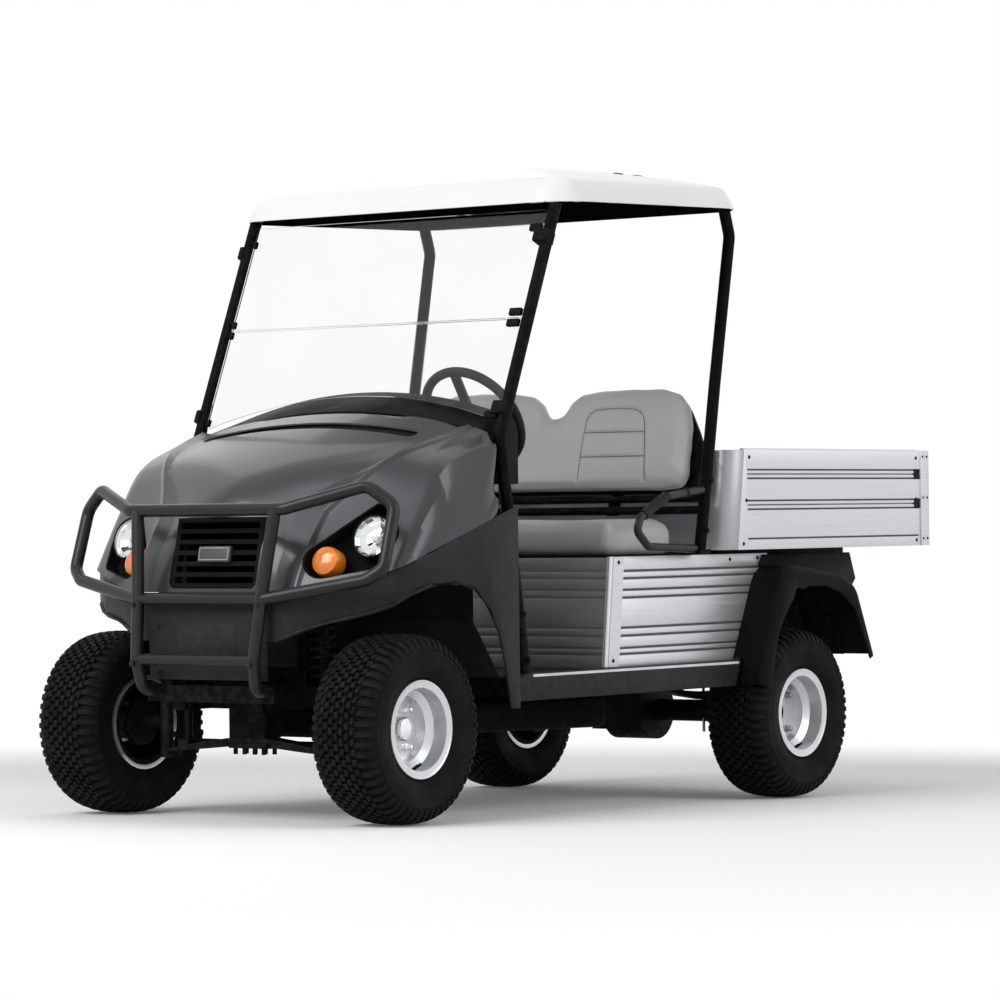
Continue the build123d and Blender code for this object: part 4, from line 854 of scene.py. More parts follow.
def tyre_mesh():
    """A turf tyre about the X axis at the origin, outboard towards +X."""
    bm = bmesh.new()
    spin = Matrix.Rotation(math.radians(90), 4, "Y")
    section = [(a * MM, r * MM) for a, r in CASING]
    section += [(-a, r) for a, r in reversed(section[:-1])]
    section += [(0.080, 0.2), (0.076, 0.238), (-0.076, 0.238), (-0.080, 0.2), section[0]]
    lathe(bm, section, spin, 96)
    tread = bmesh.new()
    pitches, depth = sizes().pitches, sizes().tread_depth
    pitch = 2 * math.pi / pitches
    for i, a in enumerate(TREAD_ROWS):
        top = 0.2788 - 1.067e-6 * a * a
        verts = block(tread, (a * MM - 0.0080, -0.0105, top - depth - 0.004),
                      (a * MM + 0.0080, 0.0105, top), 0.0026, 1)
        lean = Matrix.Rotation(math.radians(14 if i % 2 else -14), 4, "Z")
        at = Matrix.Translation((a * MM, 0, 0))
        bmesh.ops.transform(tread, matrix=at @ lean @ at.inverted(), verts=verts)
        turn = Matrix.Rotation(pitch * (0.5 if i % 2 else 0.0), 4, "X")
        bmesh.ops.transform(tread, matrix=turn, verts=verts)
    for side in (1, -1):
        ridge = []
        for a, r in SHOULDER_LUG:
            out = Vector((0.35 if a < 99 else 0.9, 0, 1.0 if a < 99 else 0.35)).normalized()
            tip = Vector((a * MM, 0, r * MM))
            foot = tip - out * (depth if a < 110 else 0.004)
            wide = 0.0072 if a < 99 else 0.0066
            ridge.append([Vector((v.x * side, y, v.z)) for v, y in
                          ((foot, -wide - 0.002), (tip, -wide), (tip, wide), (foot, wide + 0.002))])
        loops = [[tread.verts.new(v) for v in ring] for ring in ridge]
        for a, b in zip(loops, loops[1:]):
            for k in range(3):
                tread.faces.new((a[k], a[k + 1], b[k + 1], b[k]))
        tread.faces.new(loops[0])
        tread.faces.new(loops[-1])
        shift = Matrix.Rotation(pitch * (0.25 if side > 0 else 0.75), 4, "X")
        bmesh.ops.transform(tread, matrix=shift, verts=[v for ring in loops for v in ring])
    bmesh.ops.recalc_face_normals(tread, faces=tread.faces)
    everything = tread.verts[:] + tread.edges[:] + tread.faces[:]
    bmesh.ops.spin(tread, geom=everything, cent=(0, 0, 0), axis=(1, 0, 0), dvec=(0, 0, 0),
                   angle=2 * math.pi * (pitches - 1) / pitches, steps=pitches - 1, use_duplicate=True)
    bmesh.ops.recalc_face_normals(bm, faces=bm.faces)
    joined(bm, tread)
    return bm


DISC_FACE, NUT_R = -0.0005, 0.078


def axle_of(wheel):
    """The middle of a wheel's tyre."""
    low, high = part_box("tyre_" + wheel)
    return (low + high) / 2


class VEHICLE_OT_tyres(bpy.types.Operator):
    """Builds the four turf tyres"""
    bl_idname = "vehicle.tyres"
    bl_label = "Tyres"

    def execute(self, context):
        for wheel in WHEELS:
            bm = tyre_mesh()
            side = 1 if wheel.endswith("left") else -1
            place = Matrix.Translation(axle_of(wheel)) @ Matrix.Diagonal((side, 1, 1, 1))
            bm.transform(place)
            if side < 0:
                bmesh.ops.reverse_faces(bm, faces=bm.faces)
            settle("turf_tyre_" + wheel, bm, "wheel_" + wheel, "tyre", ("tyre_" + wheel,), GROUND, 38.0,
                   False)
        return {"FINISHED"}


class VEHICLE_OT_wheels(bpy.types.Operator):
    """Dresses the steel wheels with caps, lug nuts, valves and rolled lips"""
    bl_idname = "vehicle.wheels"
    bl_label = "Wheels"

    def execute(self, context):
        for wheel in WHEELS:
            body = "wheel_" + wheel
            dressed(body, "wheel_silver")
            side = 1 if wheel.endswith("left") else -1
            centre = axle_of(wheel)
            out = Vector((side, 0, 0))
            hub = aim(centre, out)
            trim, barrel_shade, nuts, valve = (bmesh.new() for _ in range(4))
            lathe(trim, [(0.091, 0.1375), (0.096, 0.1435), (0.0985, 0.1435), (0.0985, 0.1395),
                         (0.0965, 0.1365), (0.091, 0.1375)], hub, 96)
            settle("rolled_lip_" + wheel, trim, body, "wheel_silver", (), GROUND, 50.0)
            # Painted shade: a black shell laid just inside the barrel and over the inner flange darkens the
            # wheel's inboard side
            lathe(barrel_shade, [(-0.0945, 0.1195), (-0.067, 0.1155), (-0.051, 0.0955), (-0.009, 0.0955),
                           (-0.009, 0.061), (-0.0105, 0.061), (-0.0105, 0.094), (-0.052, 0.094),
                           (-0.068, 0.114), (-0.0968, 0.1165), (-0.0968, 0.1300), (-0.0957, 0.1300),
                           (-0.0945, 0.1195)], hub, 64)
            settle("wheel_barrel_shade_" + wheel, barrel_shade, body, "frame_black", (), GROUND, 40.0)
            front = wheel.startswith("front")
            for k in range(4):
                t = math.radians(45 + 90 * k)
                spot = centre + Vector((side * DISC_FACE, NUT_R * math.cos(t), NUT_R * math.sin(t)))
                bar(nuts, spot - out * 0.006, spot + out * 0.003, 0.0125, 20)
                bar(nuts, spot, spot + out * 0.016, 0.0092, 6)
                dome(nuts, spot + out * 0.016, out, 0.0085, 0.005, 10)
            settle("lug_nuts_" + wheel, nuts, body, "chrome" if front else "bolt_zinc", (),
                   GROUND, 30.0)
            if front:
                cap = bmesh.new()
                lathe(cap, [(-0.001, 0.049), (0.0075, 0.048), (0.0095, 0.0375), (0.036, 0.0355),
                            (0.0435, 0.031), (0.0465, 0.022), (0.0480, 0.010), (0.0480, 0.0)], hub, 56)
                settle("hub_cap_" + wheel, cap, body, "chrome", (), GROUND, 40.0)
            else:
                ring = bmesh.new()
                lathe(ring, [(-0.021, 0.0), (-0.009, 0.026), (-0.005, 0.030), (-0.002, 0.036),
                             (-0.021, 0.036)], hub, 48)
                settle("hub_bore_" + wheel, ring, body, "dark_steel", (), GROUND, 40.0)
            foot, neck, tip = (centre + Vector((side * x, 0, z)) for x, z in
                               ((0.064, -0.1175), (0.082, -0.1055), (0.094, -0.0995)))
            bar(valve, foot, neck, 0.0055, 14)
            bar(valve, neck, tip, 0.0042, 14)
            settle("valve_" + wheel, valve, body, "wheel_grip", (), GROUND)
        return {"FINISHED"}


# Seats
BACK_LEAN = math.radians(13)
BACK = Matrix.Translation((0, 0.452, 0.985)) @ Matrix.Rotation(-BACK_LEAN, 4, "X")
BACK_T = 0.078
ARCH_SEAM = ((0.138, 0.045), (0.139, 0.11), (0.141, 0.18), (0.147, 0.245), (0.160, 0.266), (0.183, 0.277),
             (0.240, 0.281), (0.288, 0.281), (0.330, 0.277), (0.354, 0.269), (0.372, 0.252), (0.379, 0.235),
             (0.391, 0.15), (0.403, 0.045))
CROSS_SEAMS = tuple(((start, z), (0.2, z), (0.26, z), (0.32, z), (end, z))
                    for start, end, z in ((0.144, 0.384, 0.202), (0.140, 0.394, 0.121)))
SEAM_DEPTH, SEAM_WIDTH, THREAD_R, STITCH = 0.0045, 0.006, 0.0016, 0.012
BACK_HALF = ((0.45, 0.002), (0.535, 0.010), (0.553, 0.05), (0.556, 0.15), (0.552, 0.225), (0.534, 0.290),
             (0.496, 0.332), (0.43, 0.355), (0.31, 0.363), (0.18, 0.360), (0.105, 0.349), (0.066, 0.323),
             (0.043, 0.288), (0.022, 0.274))
SHELL_HALF = (
    (0.45, 0.012), (0.545, 0.016), (0.566, 0.04), (0.567, 0.13), (0.562, 0.18), (0.545, 0.215), (0.50, 0.29),
    (0.42, 0.325), (0.18, 0.325), (0.10, 0.30), (0.05, 0.245),
)
BENCH_LOW = 0.7805
PRESSURE, SWELL_FRAMES = 4.0, 20


def outline(half, low, high):
    """A closed outline from one half, as (across, up) in metres."""
    return [(0.0, low)] + list(half) + [(0.0, high)] + [(-x, z) for x, z in reversed(half)]


def eased(mesh, rounds):
    """A cover with its ripples smoothed out."""
    bm = bmesh.new()
    bm.from_mesh(mesh)
    for _ in range(rounds):
        bmesh.ops.smooth_vert(bm, verts=bm.verts, factor=0.5, use_axis_x=True, use_axis_y=True,
                              use_axis_z=True)
    bm.to_mesh(mesh)
    bm.free()
    return mesh


def sewn(mesh, lines):
    """Threads laid along seams on the front of the back's cover."""
    tree = BVHTree.FromPolygons([v.co for v in mesh.vertices], [p.vertices for p in mesh.polygons])
    bm = bmesh.new()
    for line in lines:
        path = []
        for (x, z), (u, w) in zip(line, line[1:]):
            count = max(2, int(math.hypot(u - x, w - z) / STITCH))
            path += [(x + (u - x) * k / count, z + (w - z) * k / count) for k in range(count)]
        path.append(line[-1])
        points = [tree.ray_cast(Vector((x, -0.2, z)), Vector((0, 1, 0)))[0] for x, z in path]
        hose(bm, [p for p in points if p], THREAD_R, 6)
    return bm


def read(mesh, label):
    """A vector of each vertex, such as its place, as rows of an array."""
    rows = np.zeros(len(mesh.vertices) * 3)
    mesh.vertices.foreach_get(label, rows)
    return rows.reshape(-1, 3)


def inflate(mesh, voxel, cap):
    """Swells a closed cover by cloth pressure, each point moving at most a cap."""
    mesh = applied(mesh, [("REMESH", {"mode": "VOXEL", "voxel_size": voxel})])
    scene = bpy.context.scene
    work = bpy.data.objects.new("cover", mesh)
    scene.collection.objects.link(work)
    cloth = work.modifiers.new("Cloth", "CLOTH")
    cloth.settings.quality = 5
    cloth.settings.use_pressure = True
    cloth.settings.uniform_pressure_force = PRESSURE
    cloth.settings.effector_weights.gravity = 0.0
    for number in range(1, SWELL_FRAMES + 1):
        scene.frame_set(number)
    rest = read(mesh, "co")
    shift = read(work.evaluated_get(bpy.context.evaluated_depsgraph_get()).to_mesh(), "co") - rest
    size = np.linalg.norm(shift, axis=1, keepdims=True)
    shift *= np.minimum(1.0, cap / np.maximum(size, 1e-9))
    work.modifiers.clear()
    mesh.vertices.foreach_set("co", (rest + shift).ravel())
    scene.frame_set(1)
    bpy.data.objects.remove(work)
    return mesh


def seam_distance(points, line):
    """Each point's distance from a broken line, in two dimensions."""
    best = np.full(len(points), 9.0)
    for a, b in zip(line, line[1:]):
        a, b = np.array(a), np.array(b)
        d = b - a
        t = np.clip(((points - a) @ d) / (d @ d), 0.0, 1.0)
        best = np.minimum(best, np.linalg.norm(points - a - t[:, None] * d, axis=1))
    return best


def groove(mesh, lines, axes, way, front, depth):
    """Presses sewn channels into the side of a cover that faces a way."""
    co = read(mesh, "co")
    facing = read(mesh, "normal") @ np.array(way) > front
    press = np.zeros(len(co))
    for line in lines:
        press = np.maximum(press, np.exp(-(seam_distance(co[:, axes], line) / SEAM_WIDTH) ** 2))
    co -= np.array(way) * (depth * press * facing)[:, None]
    mesh.vertices.foreach_set("co", co.ravel())


def refine(mesh):
    """One round of subdivision, applied."""
    return applied(mesh, [("SUBSURF", {"levels": 1, "render_levels": 1})])


class VEHICLE_OT_seats(bpy.types.Operator):
    """Builds the bench and its two-humped back as sewn, swollen covers"""
    bl_idname = "vehicle.seats"
    bl_label = "Seats"

    def execute(self, context):
        crown = sizes().crown
        bm = bmesh.new()
        slab(bm, [(x, 0.012, z) for x, z in outline(BACK_HALF, 0.004, 0.272)], (0, BACK_T - 0.022, 0))
        sharp = [e for e in bm.edges if len(e.link_faces) == 2 and e.calc_face_angle() > math.radians(50)]
        rounded(bm, sharp, 0.02, 3)
        bmesh.ops.recalc_face_normals(bm, faces=bm.faces)
        mesh = refine(eased(inflate(made(bm, "seat_back_cover"), 0.006, crown * 0.55), 5))
        seams = [[(x * side, z) for x, z in line] for side in (1, -1) for line in (ARCH_SEAM, *CROSS_SEAMS)]
        groove(mesh, seams, [0, 2], (0, -1, 0), 0.3, SEAM_DEPTH)
        settle("seat_seams", sewn(mesh, seams), "chassis", "seam_thread", (), BODY @ BACK)
        mesh.transform(BODY @ BACK)
        cover = adopt("seat_back_cover", mesh, "chassis", "seat_vinyl", ("seat_back",), 80.0)
        bm = bmesh.new()
        block(bm, (-0.530, 0.098, 0.785), (0.530, 0.468, 0.888), 0.03, 3)
        bmesh.ops.subdivide_edges(bm, edges=bm.edges, cuts=3, use_grid_fill=True)
        for v in bm.verts:
            hollow = math.exp(-((abs(v.co.x) - 0.27) / 0.17) ** 2)
            if v.co.z > 0.87:
                v.co.z -= 0.007 * hollow
        bmesh.ops.recalc_face_normals(bm, faces=bm.faces)
        mesh = refine(eased(inflate(made(bm, "bench_cover"), 0.007, crown * 0.6), 12))
        for v in mesh.vertices:
            v.co.z = max(v.co.z, BENCH_LOW)
        groove(mesh, [[(-0.6, 0.165), (0.6, 0.165)]], [0, 1], (0, 0, 1), 0.4, 0.003)
        mesh.transform(BODY)
        cover = adopt("bench_cover", mesh, "chassis", "seat_vinyl", ("seat_cushion",), 80.0)
        shell, base = bmesh.new(), bmesh.new()
        slab(shell, [(x, BACK_T - 0.002, z) for x, z in outline(SHELL_HALF, 0.014, 0.235)], (0, 0.012, 0))
        shell.transform(BACK)
        settle("seat_back_shell", shell, "chassis", "black_plastic", smooth=30.0)
        block(base, (-0.545, 0.088, 0.7795), (0.545, 0.478, 0.7895), 0.003)
        settle("bench_base", base, "chassis", "black_plastic")
        return {"FINISHED"}


# Heights of the grooves in the side panels and the bed, in millimetres
PANEL_LOW, PANEL_HIGH = 440.0, 783.0
RIBS = (738, 715, 679, 655, 561, 536, 498, 479)
BED_RIBS = (1054, 1040, 1026, 954, 940, 926, 831)
FINE_RIBS = (1040, 940)
COLUMN_RISE = math.radians(33)
POST_FACE = ((0.036, 0.441), (0.092, 0.441), (0.128, 0.782), (0.072, 0.782))
GRIP = ((0.40, 0.9805), (0.285, 0.968), (0.20, 0.928), (0.165, 0.911))


class VEHICLE_OT_cab(bpy.types.Operator):
    """Dresses dash, steering, pedals, floor and seat box"""
    bl_idname = "vehicle.cab"
    bl_label = "Cab"

    def execute(self, context):
        edge = sizes().edge
        softened("dash_moulding", "dashboard", "chassis", "black_plastic", edge, 35.0, 45.0)
        dressed("steering_wheel", "wheel_grip")
        dressed("steering_column", "black_plastic")
        softened("pedal_pads", "pedals", "chassis", "frame_black", 0.0015)
        dressed("floor_pan", "floor_black")
        softened("sill_covers", "side_sills", "chassis", "dark_plastic", edge)
        strip = bmesh.new()
        for side in (1, -1):
            a, b = span(side, 0.592, 0.5938)
            block(strip, (a, -0.395, 0.428), (b, 0.716, 0.436), 0.0004, 1)
        settle("sill_strips", strip, "chassis", "strip_white")
        axis = Vector((0, math.cos(COLUMN_RISE), math.sin(COLUMN_RISE)))
        hub = Vector((0.293, -0.285, 1.216))
        cap, boot = bmesh.new(), bmesh.new()
        column = aim(hub, axis)
        lathe(cap, [(0.006, 0.046), (0.012, 0.045), (0.018, 0.036), (0.020, 0.018), (0.0205, 0.0)],
              column, 40)
        settle("wheel_cap", cap, "steering_wheel", "black_plastic")
        lathe(boot, [(-0.155, 0.05), (-0.12, 0.044), (-0.06, 0.034), (-0.04, 0.032), (-0.04, 0.0)],
              column, 32)
        settle("column_shroud", boot, "chassis", "black_plastic")
        gauge, face, knobs = bmesh.new(), bmesh.new(), bmesh.new()
        seat = aim((0.293, -0.407, 1.205), (0, 1, 0.15))
        lathe(gauge, [(0.0, 0.046), (0.012, 0.046), (0.014, 0.042), (0.004, 0.040), (0.0, 0.046)], seat, 40)
        lathe(face, [(0.003, 0.041), (0.004, 0.0)], seat, 40)
        settle("gauge_bezel", gauge, "chassis", "chrome")
        settle("gauge_face", face, "chassis", "strip_white")
        for x, z in ((0.20, 1.10), (0.235, 1.10), (0.15, 1.12)):
            lathe(knobs, [(0.0, 0.012), (0.014, 0.011), (0.018, 0.008), (0.018, 0.0)],
                  aim((x + 0.02, -0.43 if x < 0.2 else -0.408, z), (0, 1, 0)), 20)
        settle("dash_knobs", knobs, "chassis", "wheel_grip")
        bins = bmesh.new()
        for x0, x1 in ((-0.50, -0.20), (-0.16, 0.10)):
            block(bins, (x0, -0.436, 1.06), (x1, -0.424, 1.17), 0.006, 2)
        settle("dash_bins", bins, "chassis", "dark_plastic")
        # The seat box's front panel takes the alloy darkened as painted shade
        softened("seat_box_front", "seat_box", "chassis", "alloy_painted_shade", 0.0012, 30.0, 30.0)
        softened("ribbed_panels", "side_panels", "chassis", "aluminium", 0.0012)
        posts, rivets, strips = bmesh.new(), bmesh.new(), bmesh.new()
        for side in (1, -1):
            bar(posts, (0.553 * side, 0.030, 0.441), (0.553 * side, 0.0659, 0.783), 0.0095, 20)
            slab(posts, [(0.5625 * side, y, z) for y, z in POST_FACE], (-0.003 * side, 0, 0))
            a, b = span(side, 0.5572, 0.5584)
            for z in RIBS:
                end = 0.758 + (z - PANEL_LOW) / (PANEL_HIGH - PANEL_LOW) * 0.168
                block(strips, (a, 0.10, z * MM - 0.0026), (b, end, z * MM + 0.0026))
            for y, z in ((0.062, 0.46), (0.098, 0.765), (0.72, 0.765), (0.88, 0.768), (0.76, 0.46)):
                dome(rivets, ((0.5625 if y < 0.2 else 0.560) * side, y, z), (side, 0, 0),
                     sizes().rivet, 0.003)
        settle("rib_shadows", strips, "chassis", "rib_shade")
        settle("corner_posts", posts, "chassis", "aluminium")
        settle("panel_rivets", rivets, "chassis", "dark_steel")
        dressed("seat_frame", "frame_black")
        dressed("hip_restraints", "guard_black")
        pads = bmesh.new()
        for side in (1, -1):
            hose(pads, [(0.612 * side, y, z) for y, z in GRIP], 0.0165, 16)
        settle("restraint_grips", pads, "chassis", "wheel_grip", smooth=60.0)
        return {"FINISHED"}


# Canopy: a drafted skirt under two crowns, as a height over a rounded outline
ROOF_AT = BODY @ Matrix.Translation((0, 0.2025, 1.880)) @ Matrix.Rotation(math.radians(1.4), 4, "X")
ROOF_W, ROOF_L, ROOF_R, ROOF_H = 655.0, 502.5, 110.0, 150.0
ROOF_DRAFT = math.tan(math.radians(24.0))
ROOF_WALL, ROOF_NET, EDGE_PULL = 0.006, 80, 1.8
FALL_FRONT, FALL_REAR, FALL_SIDE = 84.0, 98.0, 93.0
CROWN_BLEND, SKIRT_BLEND = 30.0, 34.0
POST_BOLTS = ((0.617, -0.452, 0.48), (0.617, -0.472, 0.62), (0.630, 0.515, 1.02), (0.630, 0.487, 0.86))


def roof_rim(s, t, inset):
    """The roof's outline in a direction, in millimetres."""
    w, l, r = ROOF_W - inset, ROOF_L - inset, ROOF_R - inset
    m = max(abs(s), abs(t))
    x, y = w * s / m, l * t / m
    dx, dy = abs(x) - (w - r), abs(y) - (l - r)
    if dx > 0 and dy > 0:
        k = r / math.hypot(dx, dy)
        x, y = math.copysign(w - r + dx * k, x), math.copysign(l - r + dy * k, y)
    return x, y


def roof_height(p):
    """The roof's height over its lower edge at x, y, in millimetres."""
    x, y = np.abs(p[..., 0]), p[..., 1]
    over = ROOF_H - np.where(y < 0, FALL_FRONT, FALL_REAR) * (y / 507.5) ** 2
    across = ROOF_H + 1 - FALL_SIDE * (x / 660.0) ** 2
    dx, dy = x - (ROOF_W - ROOF_R), np.abs(y) - (ROOF_L - ROOF_R)
    inset = ROOF_R - np.hypot(np.maximum(dx, 0), np.maximum(dy, 0)) - np.minimum(np.maximum(dx, dy), 0)
    top = -smooth_max(-over, -across, CROWN_BLEND)
    return np.maximum(-smooth_max(-top, -inset / ROOF_DRAFT, SKIRT_BLEND), 0.0)


def roof_skin():
    """The roof's outer skin with its wall."""
    bm = bmesh.new()
    bmesh.ops.create_grid(bm, x_segments=ROOF_NET, y_segments=ROOF_NET, size=1.0)
    for v in bm.verts:
        s, t = v.co.x, v.co.y
        m = max(abs(s), abs(t))
        x, y = roof_rim(s, t, 0.0) if m > 1e-6 else (0.0, 0.0)
        g = 1.0 - (1.0 - min(m, 1.0)) ** EDGE_PULL
        x, y = x * g, y * g
        v.co = (x * MM, y * MM, float(roof_height(np.array((x, y)))) * MM)
    return carve(made(bm, "roof_moulding"), ROOF_WALL)


class VEHICLE_OT_canopy(bpy.types.Operator):
    """Dresses the roof, its posts and the two-pane windshield"""
    bl_idname = "vehicle.canopy"
    bl_label = "Canopy"

    def execute(self, context):
        skin = roof_skin()
        skin.transform(ROOF_AT)
        adopt("roof_moulding", skin, "chassis", "roof_white", ("roof",), 50.0)
        seal = bmesh.new()
        rim = [roof_rim(math.cos(t), math.sin(t), 9.0) for t in np.linspace(0.0, 2 * math.pi, 121)]
        hose(seal, [(x * MM, y * MM, 0.0015) for x, y in rim], 0.0075, 10)
        settle("roof_seal", seal, "chassis", "roof_liner", (), ROOF_AT, 60.0)
        dressed("roof_liner", "roof_liner")
        dressed("canopy_struts", "frame_black")
        dressed("windshield", "glass")
        foot, top = Vector((0, -0.557, 1.150)), Vector((0, -0.262, 1.856))
        up = (top - foot).normalized()
        out = Vector((1, 0, 0)).cross(up)
        plugs = bmesh.new()
        for x, y in ((400.0, 150.0), (400.0, 255.0)):
            z = float(roof_height(np.array((x, y))))
            slope = [float(roof_height(np.array(q))) - z for q in ((x + 10.0, y), (x, y + 10.0))]
            lathe(plugs, [(-0.004, 0.017), (0.002, 0.016), (0.003, 0.010), (0.003, 0.0)],
                  aim(Vector((x, y, z)) * MM, (-slope[0], -slope[1], 10.0)), 24)
        settle("roof_plugs", plugs, "chassis", "black_plastic", (), ROOF_AT)
        strip, knobs = bmesh.new(), bmesh.new()
        turn = Matrix((Vector((1, 0, 0)), up, out)).transposed().to_4x4()
        glass = Matrix.Translation(foot) @ turn
        block(strip, (-0.577, 0.3865, -0.0035), (0.577, 0.3935, 0.0035), 0.001, 1, glass)
        settle("pane_joint", strip, "chassis", "clear_lens")
        for side in (1, -1):
            for along in (0.07, 0.372, 0.408, 0.69):
                block(knobs, (side * 0.545 - 0.014, along - 0.012, 0.0026),
                      (side * 0.575 + 0.002, along + 0.012, 0.017), 0.004, 3, glass)
            for along in (0.09, 0.66):
                block(knobs, (side * 0.578 - 0.02, along - 0.022, -0.022),
                      (side * 0.615 - 0.004, along + 0.022, 0.026), 0.006, 3, glass)
        settle("pane_clips", knobs, "chassis", "black_plastic", ("windshield_clips",))
        bolts = bmesh.new()
        for side in (1, -1):
            for x, y, z in POST_BOLTS:
                bolt(bolts, (x * side, y, z), (side, 0, 0), 0.008, 0.006)
        settle("post_bolts", bolts, "chassis", "frame_black")
        return {"FINISHED"}


# The rear wheel housing's inner wall and back, as (y, z) in millimetres
LINER_WALL = ((772, 470), (800, 768), (1425, 772), (1458, 690), (1400, 452), (1330, 470))
LINER_BACK = ((1282, 668), (1290, 672), (1396, 440), (1388, 436))


class VEHICLE_OT_bed(bpy.types.Operator):
    """Dresses the bed, tailgate, rear fenders and their rails, rivets and latches"""
    bl_idname = "vehicle.bed"
    bl_label = "Bed"

    def execute(self, context):
        softened("bed_planks", "bed_sides", "bed", "aluminium", 0.0015)
        # The headboard takes the alloy darkened as painted shade, dimming the bright reflection it would show
        softened("bed_headboard", "bed_front", "bed", "alloy_painted_shade", 0.0015, 40.0, 50.0)
        softened("gate_planks", "tailgate", "tailgate", "aluminium", 0.0015)
        dressed("bed_floor", "alloy_floor")
        softened("fender_flares", "rear_fenders", "chassis", "black_plastic", 0.003, 40.0, 45.0)
        rails, rivets, dark, grooves, runners, liners = (bmesh.new() for _ in range(6))
        for side in (1, -1):
            hose(rails, [(0.615 * side, 0.712, 1.117), (0.615 * side, 1.78, 1.117)], 0.007, 14)
            for y in (0.692, 1.758):
                for z in (0.815, 0.955, 1.095):
                    lean = (z - 0.796) * 0.132 if y < 1 else 0.0
                    dome(rivets, (0.632 * side, y + lean, z), (side, 0, 0), sizes().rivet, 0.003)
            for y in (1.795, 1.822):
                for z in (0.82, 0.96, 1.10):
                    dome(rivets, (0.637 * side, y, z), (side, 0, 0), 0.0045, 0.0025)
            a, b = span(side, 0.6285, 0.6325)
            # Painted shade: black squares at the rear ends of the groove groups stand for the shade inside
            # the planks' open ends
            for z in (1.040, 0.940):
                block(dark, (a, 1.742, z - 0.018), (b, 1.782, z + 0.018), 0.001, 1)
            a, b = span(side, 0.6285, 0.6297)
            for z in BED_RIBS:
                tall = 0.0012 if z in FINE_RIBS else 0.0029
                block(grooves, (a, 0.722, z * MM - tall), (b, 1.772, z * MM + tall))
            a, b = span(side, 0.520, 0.545)
            block(runners, (a, 0.670, 0.7660), (b, 1.425, 0.8012), 0.0005)
            joined(liners, prism(LINER_WALL, *span(side, 0.434, 0.439)),
                   prism(LINER_BACK, *span(side, 0.436, 0.567)))
        settle("bed_runners", runners, "bed", "frame_black")
        settle("fender_liners", liners, "chassis", "black_plastic")
        settle("bed_groove_shadows", grooves, "bed", "rib_shade")
        settle("bed_rails", rails, "bed", "aluminium", smooth=60.0)
        settle("bed_rivets", rivets, "bed", "dark_steel")
        settle("plank_end_shade", dark, "bed", "black_plastic")
        latch = bmesh.new()
        for side in (1, -1):
            block(latch, (0.50 * side - 0.035, 1.8335, 0.955), (0.50 * side + 0.035, 1.8415, 1.065), 0.002)
            bar(latch, (0.50 * side, 1.841, 0.97), (0.50 * side, 1.848, 0.97), 0.010, 16)
        settle("gate_latches", latch, "tailgate", "black_plastic")
        return {"FINISHED"}


COIL_R, COIL_TURNS, COIL_POINTS = 0.036, 7, 99


class VEHICLE_OT_running_gear(bpy.types.Operator):
    """Dresses frame, suspension, axle and engine with finishes, bolts and clamps"""
    bl_idname = "vehicle.running_gear"
    bl_label = "Running gear"

    def execute(self, context):
        for node in ("frame_rails", "frame_crossmembers", "bed_supports", "front_crossmember",
                     "control_arms"):
            dressed(node, "frame_black")
        for node in ("front_leaf_spring", "dampers", "rear_axle", "rear_leaf_springs", "engine_block",
                     "knuckle_left", "knuckle_right", "tie_rod"):
            dressed(node, "dark_steel")
        bolts, coils = bmesh.new(), bmesh.new()
        for side in (1, -1):
            for y in (0.966, 1.010):
                for x in (0.30 * side - 0.018, 0.30 * side + 0.018):
                    bar(bolts, (x, y, 0.19), (x, y, 0.345), 0.005, 10)
            for y in (0.62, 1.35):
                bar(bolts, (0.27 * side, y, 0.40), (0.33 * side, y, 0.40), 0.011, 14)
            turn = np.linspace(0.0, 2 * math.pi * COIL_TURNS, COIL_POINTS)
            hose(coils, [(0.265 * side + COIL_R * math.cos(t), -0.9928 + COIL_R * math.sin(t), z)
                         for t, z in zip(turn, np.linspace(0.43, 0.62, COIL_POINTS))], 0.0055, 8)
        settle("spring_clamps", bolts, "chassis", "bolt_zinc")
        settle("damper_coils", coils, "chassis", "dark_steel", smooth=70.0)
        pad, underside_shade = bmesh.new(), bmesh.new()
        block(pad, (-0.075, -1.312, 0.210), (0.075, -1.238, 0.226), 0.003)
        for x in (-0.055, -0.02, 0.02, 0.055):
            for y in (-1.300, -1.250):
                bar(pad, (x, y, 0.192), (x, y, 0.222), 0.007, 6)
        settle("spring_pad", pad, "chassis", "dark_steel", (), GROUND)
        # Painted shade: a black box between the frame rails darkens the underbody
        block(underside_shade, (-0.205, -1.075, 0.236), (0.205, 0.24, 0.334), 0.02, 3)
        settle("belly_shade_block", underside_shade, "chassis", "frame_black", (), GROUND)
        return {"FINISHED"}


# Stage
PHOTO = 1000.0
FOCAL = 4131.0
SENSOR = 36.0
AZIMUTH, PITCH = math.radians(37.151), math.radians(-1.147)
TARGET = Vector((0.0, SHIFT_Y, 0.9))
DISTANCE, ASIDE, RAISED = 13.136, 0.133, 0.067
FLOOR_LIFT, FLOOR_R = 0.07, 60.0
FADE_NEAR, FADE_FAR = 2.6, 5.2
SURROUND = 0.30


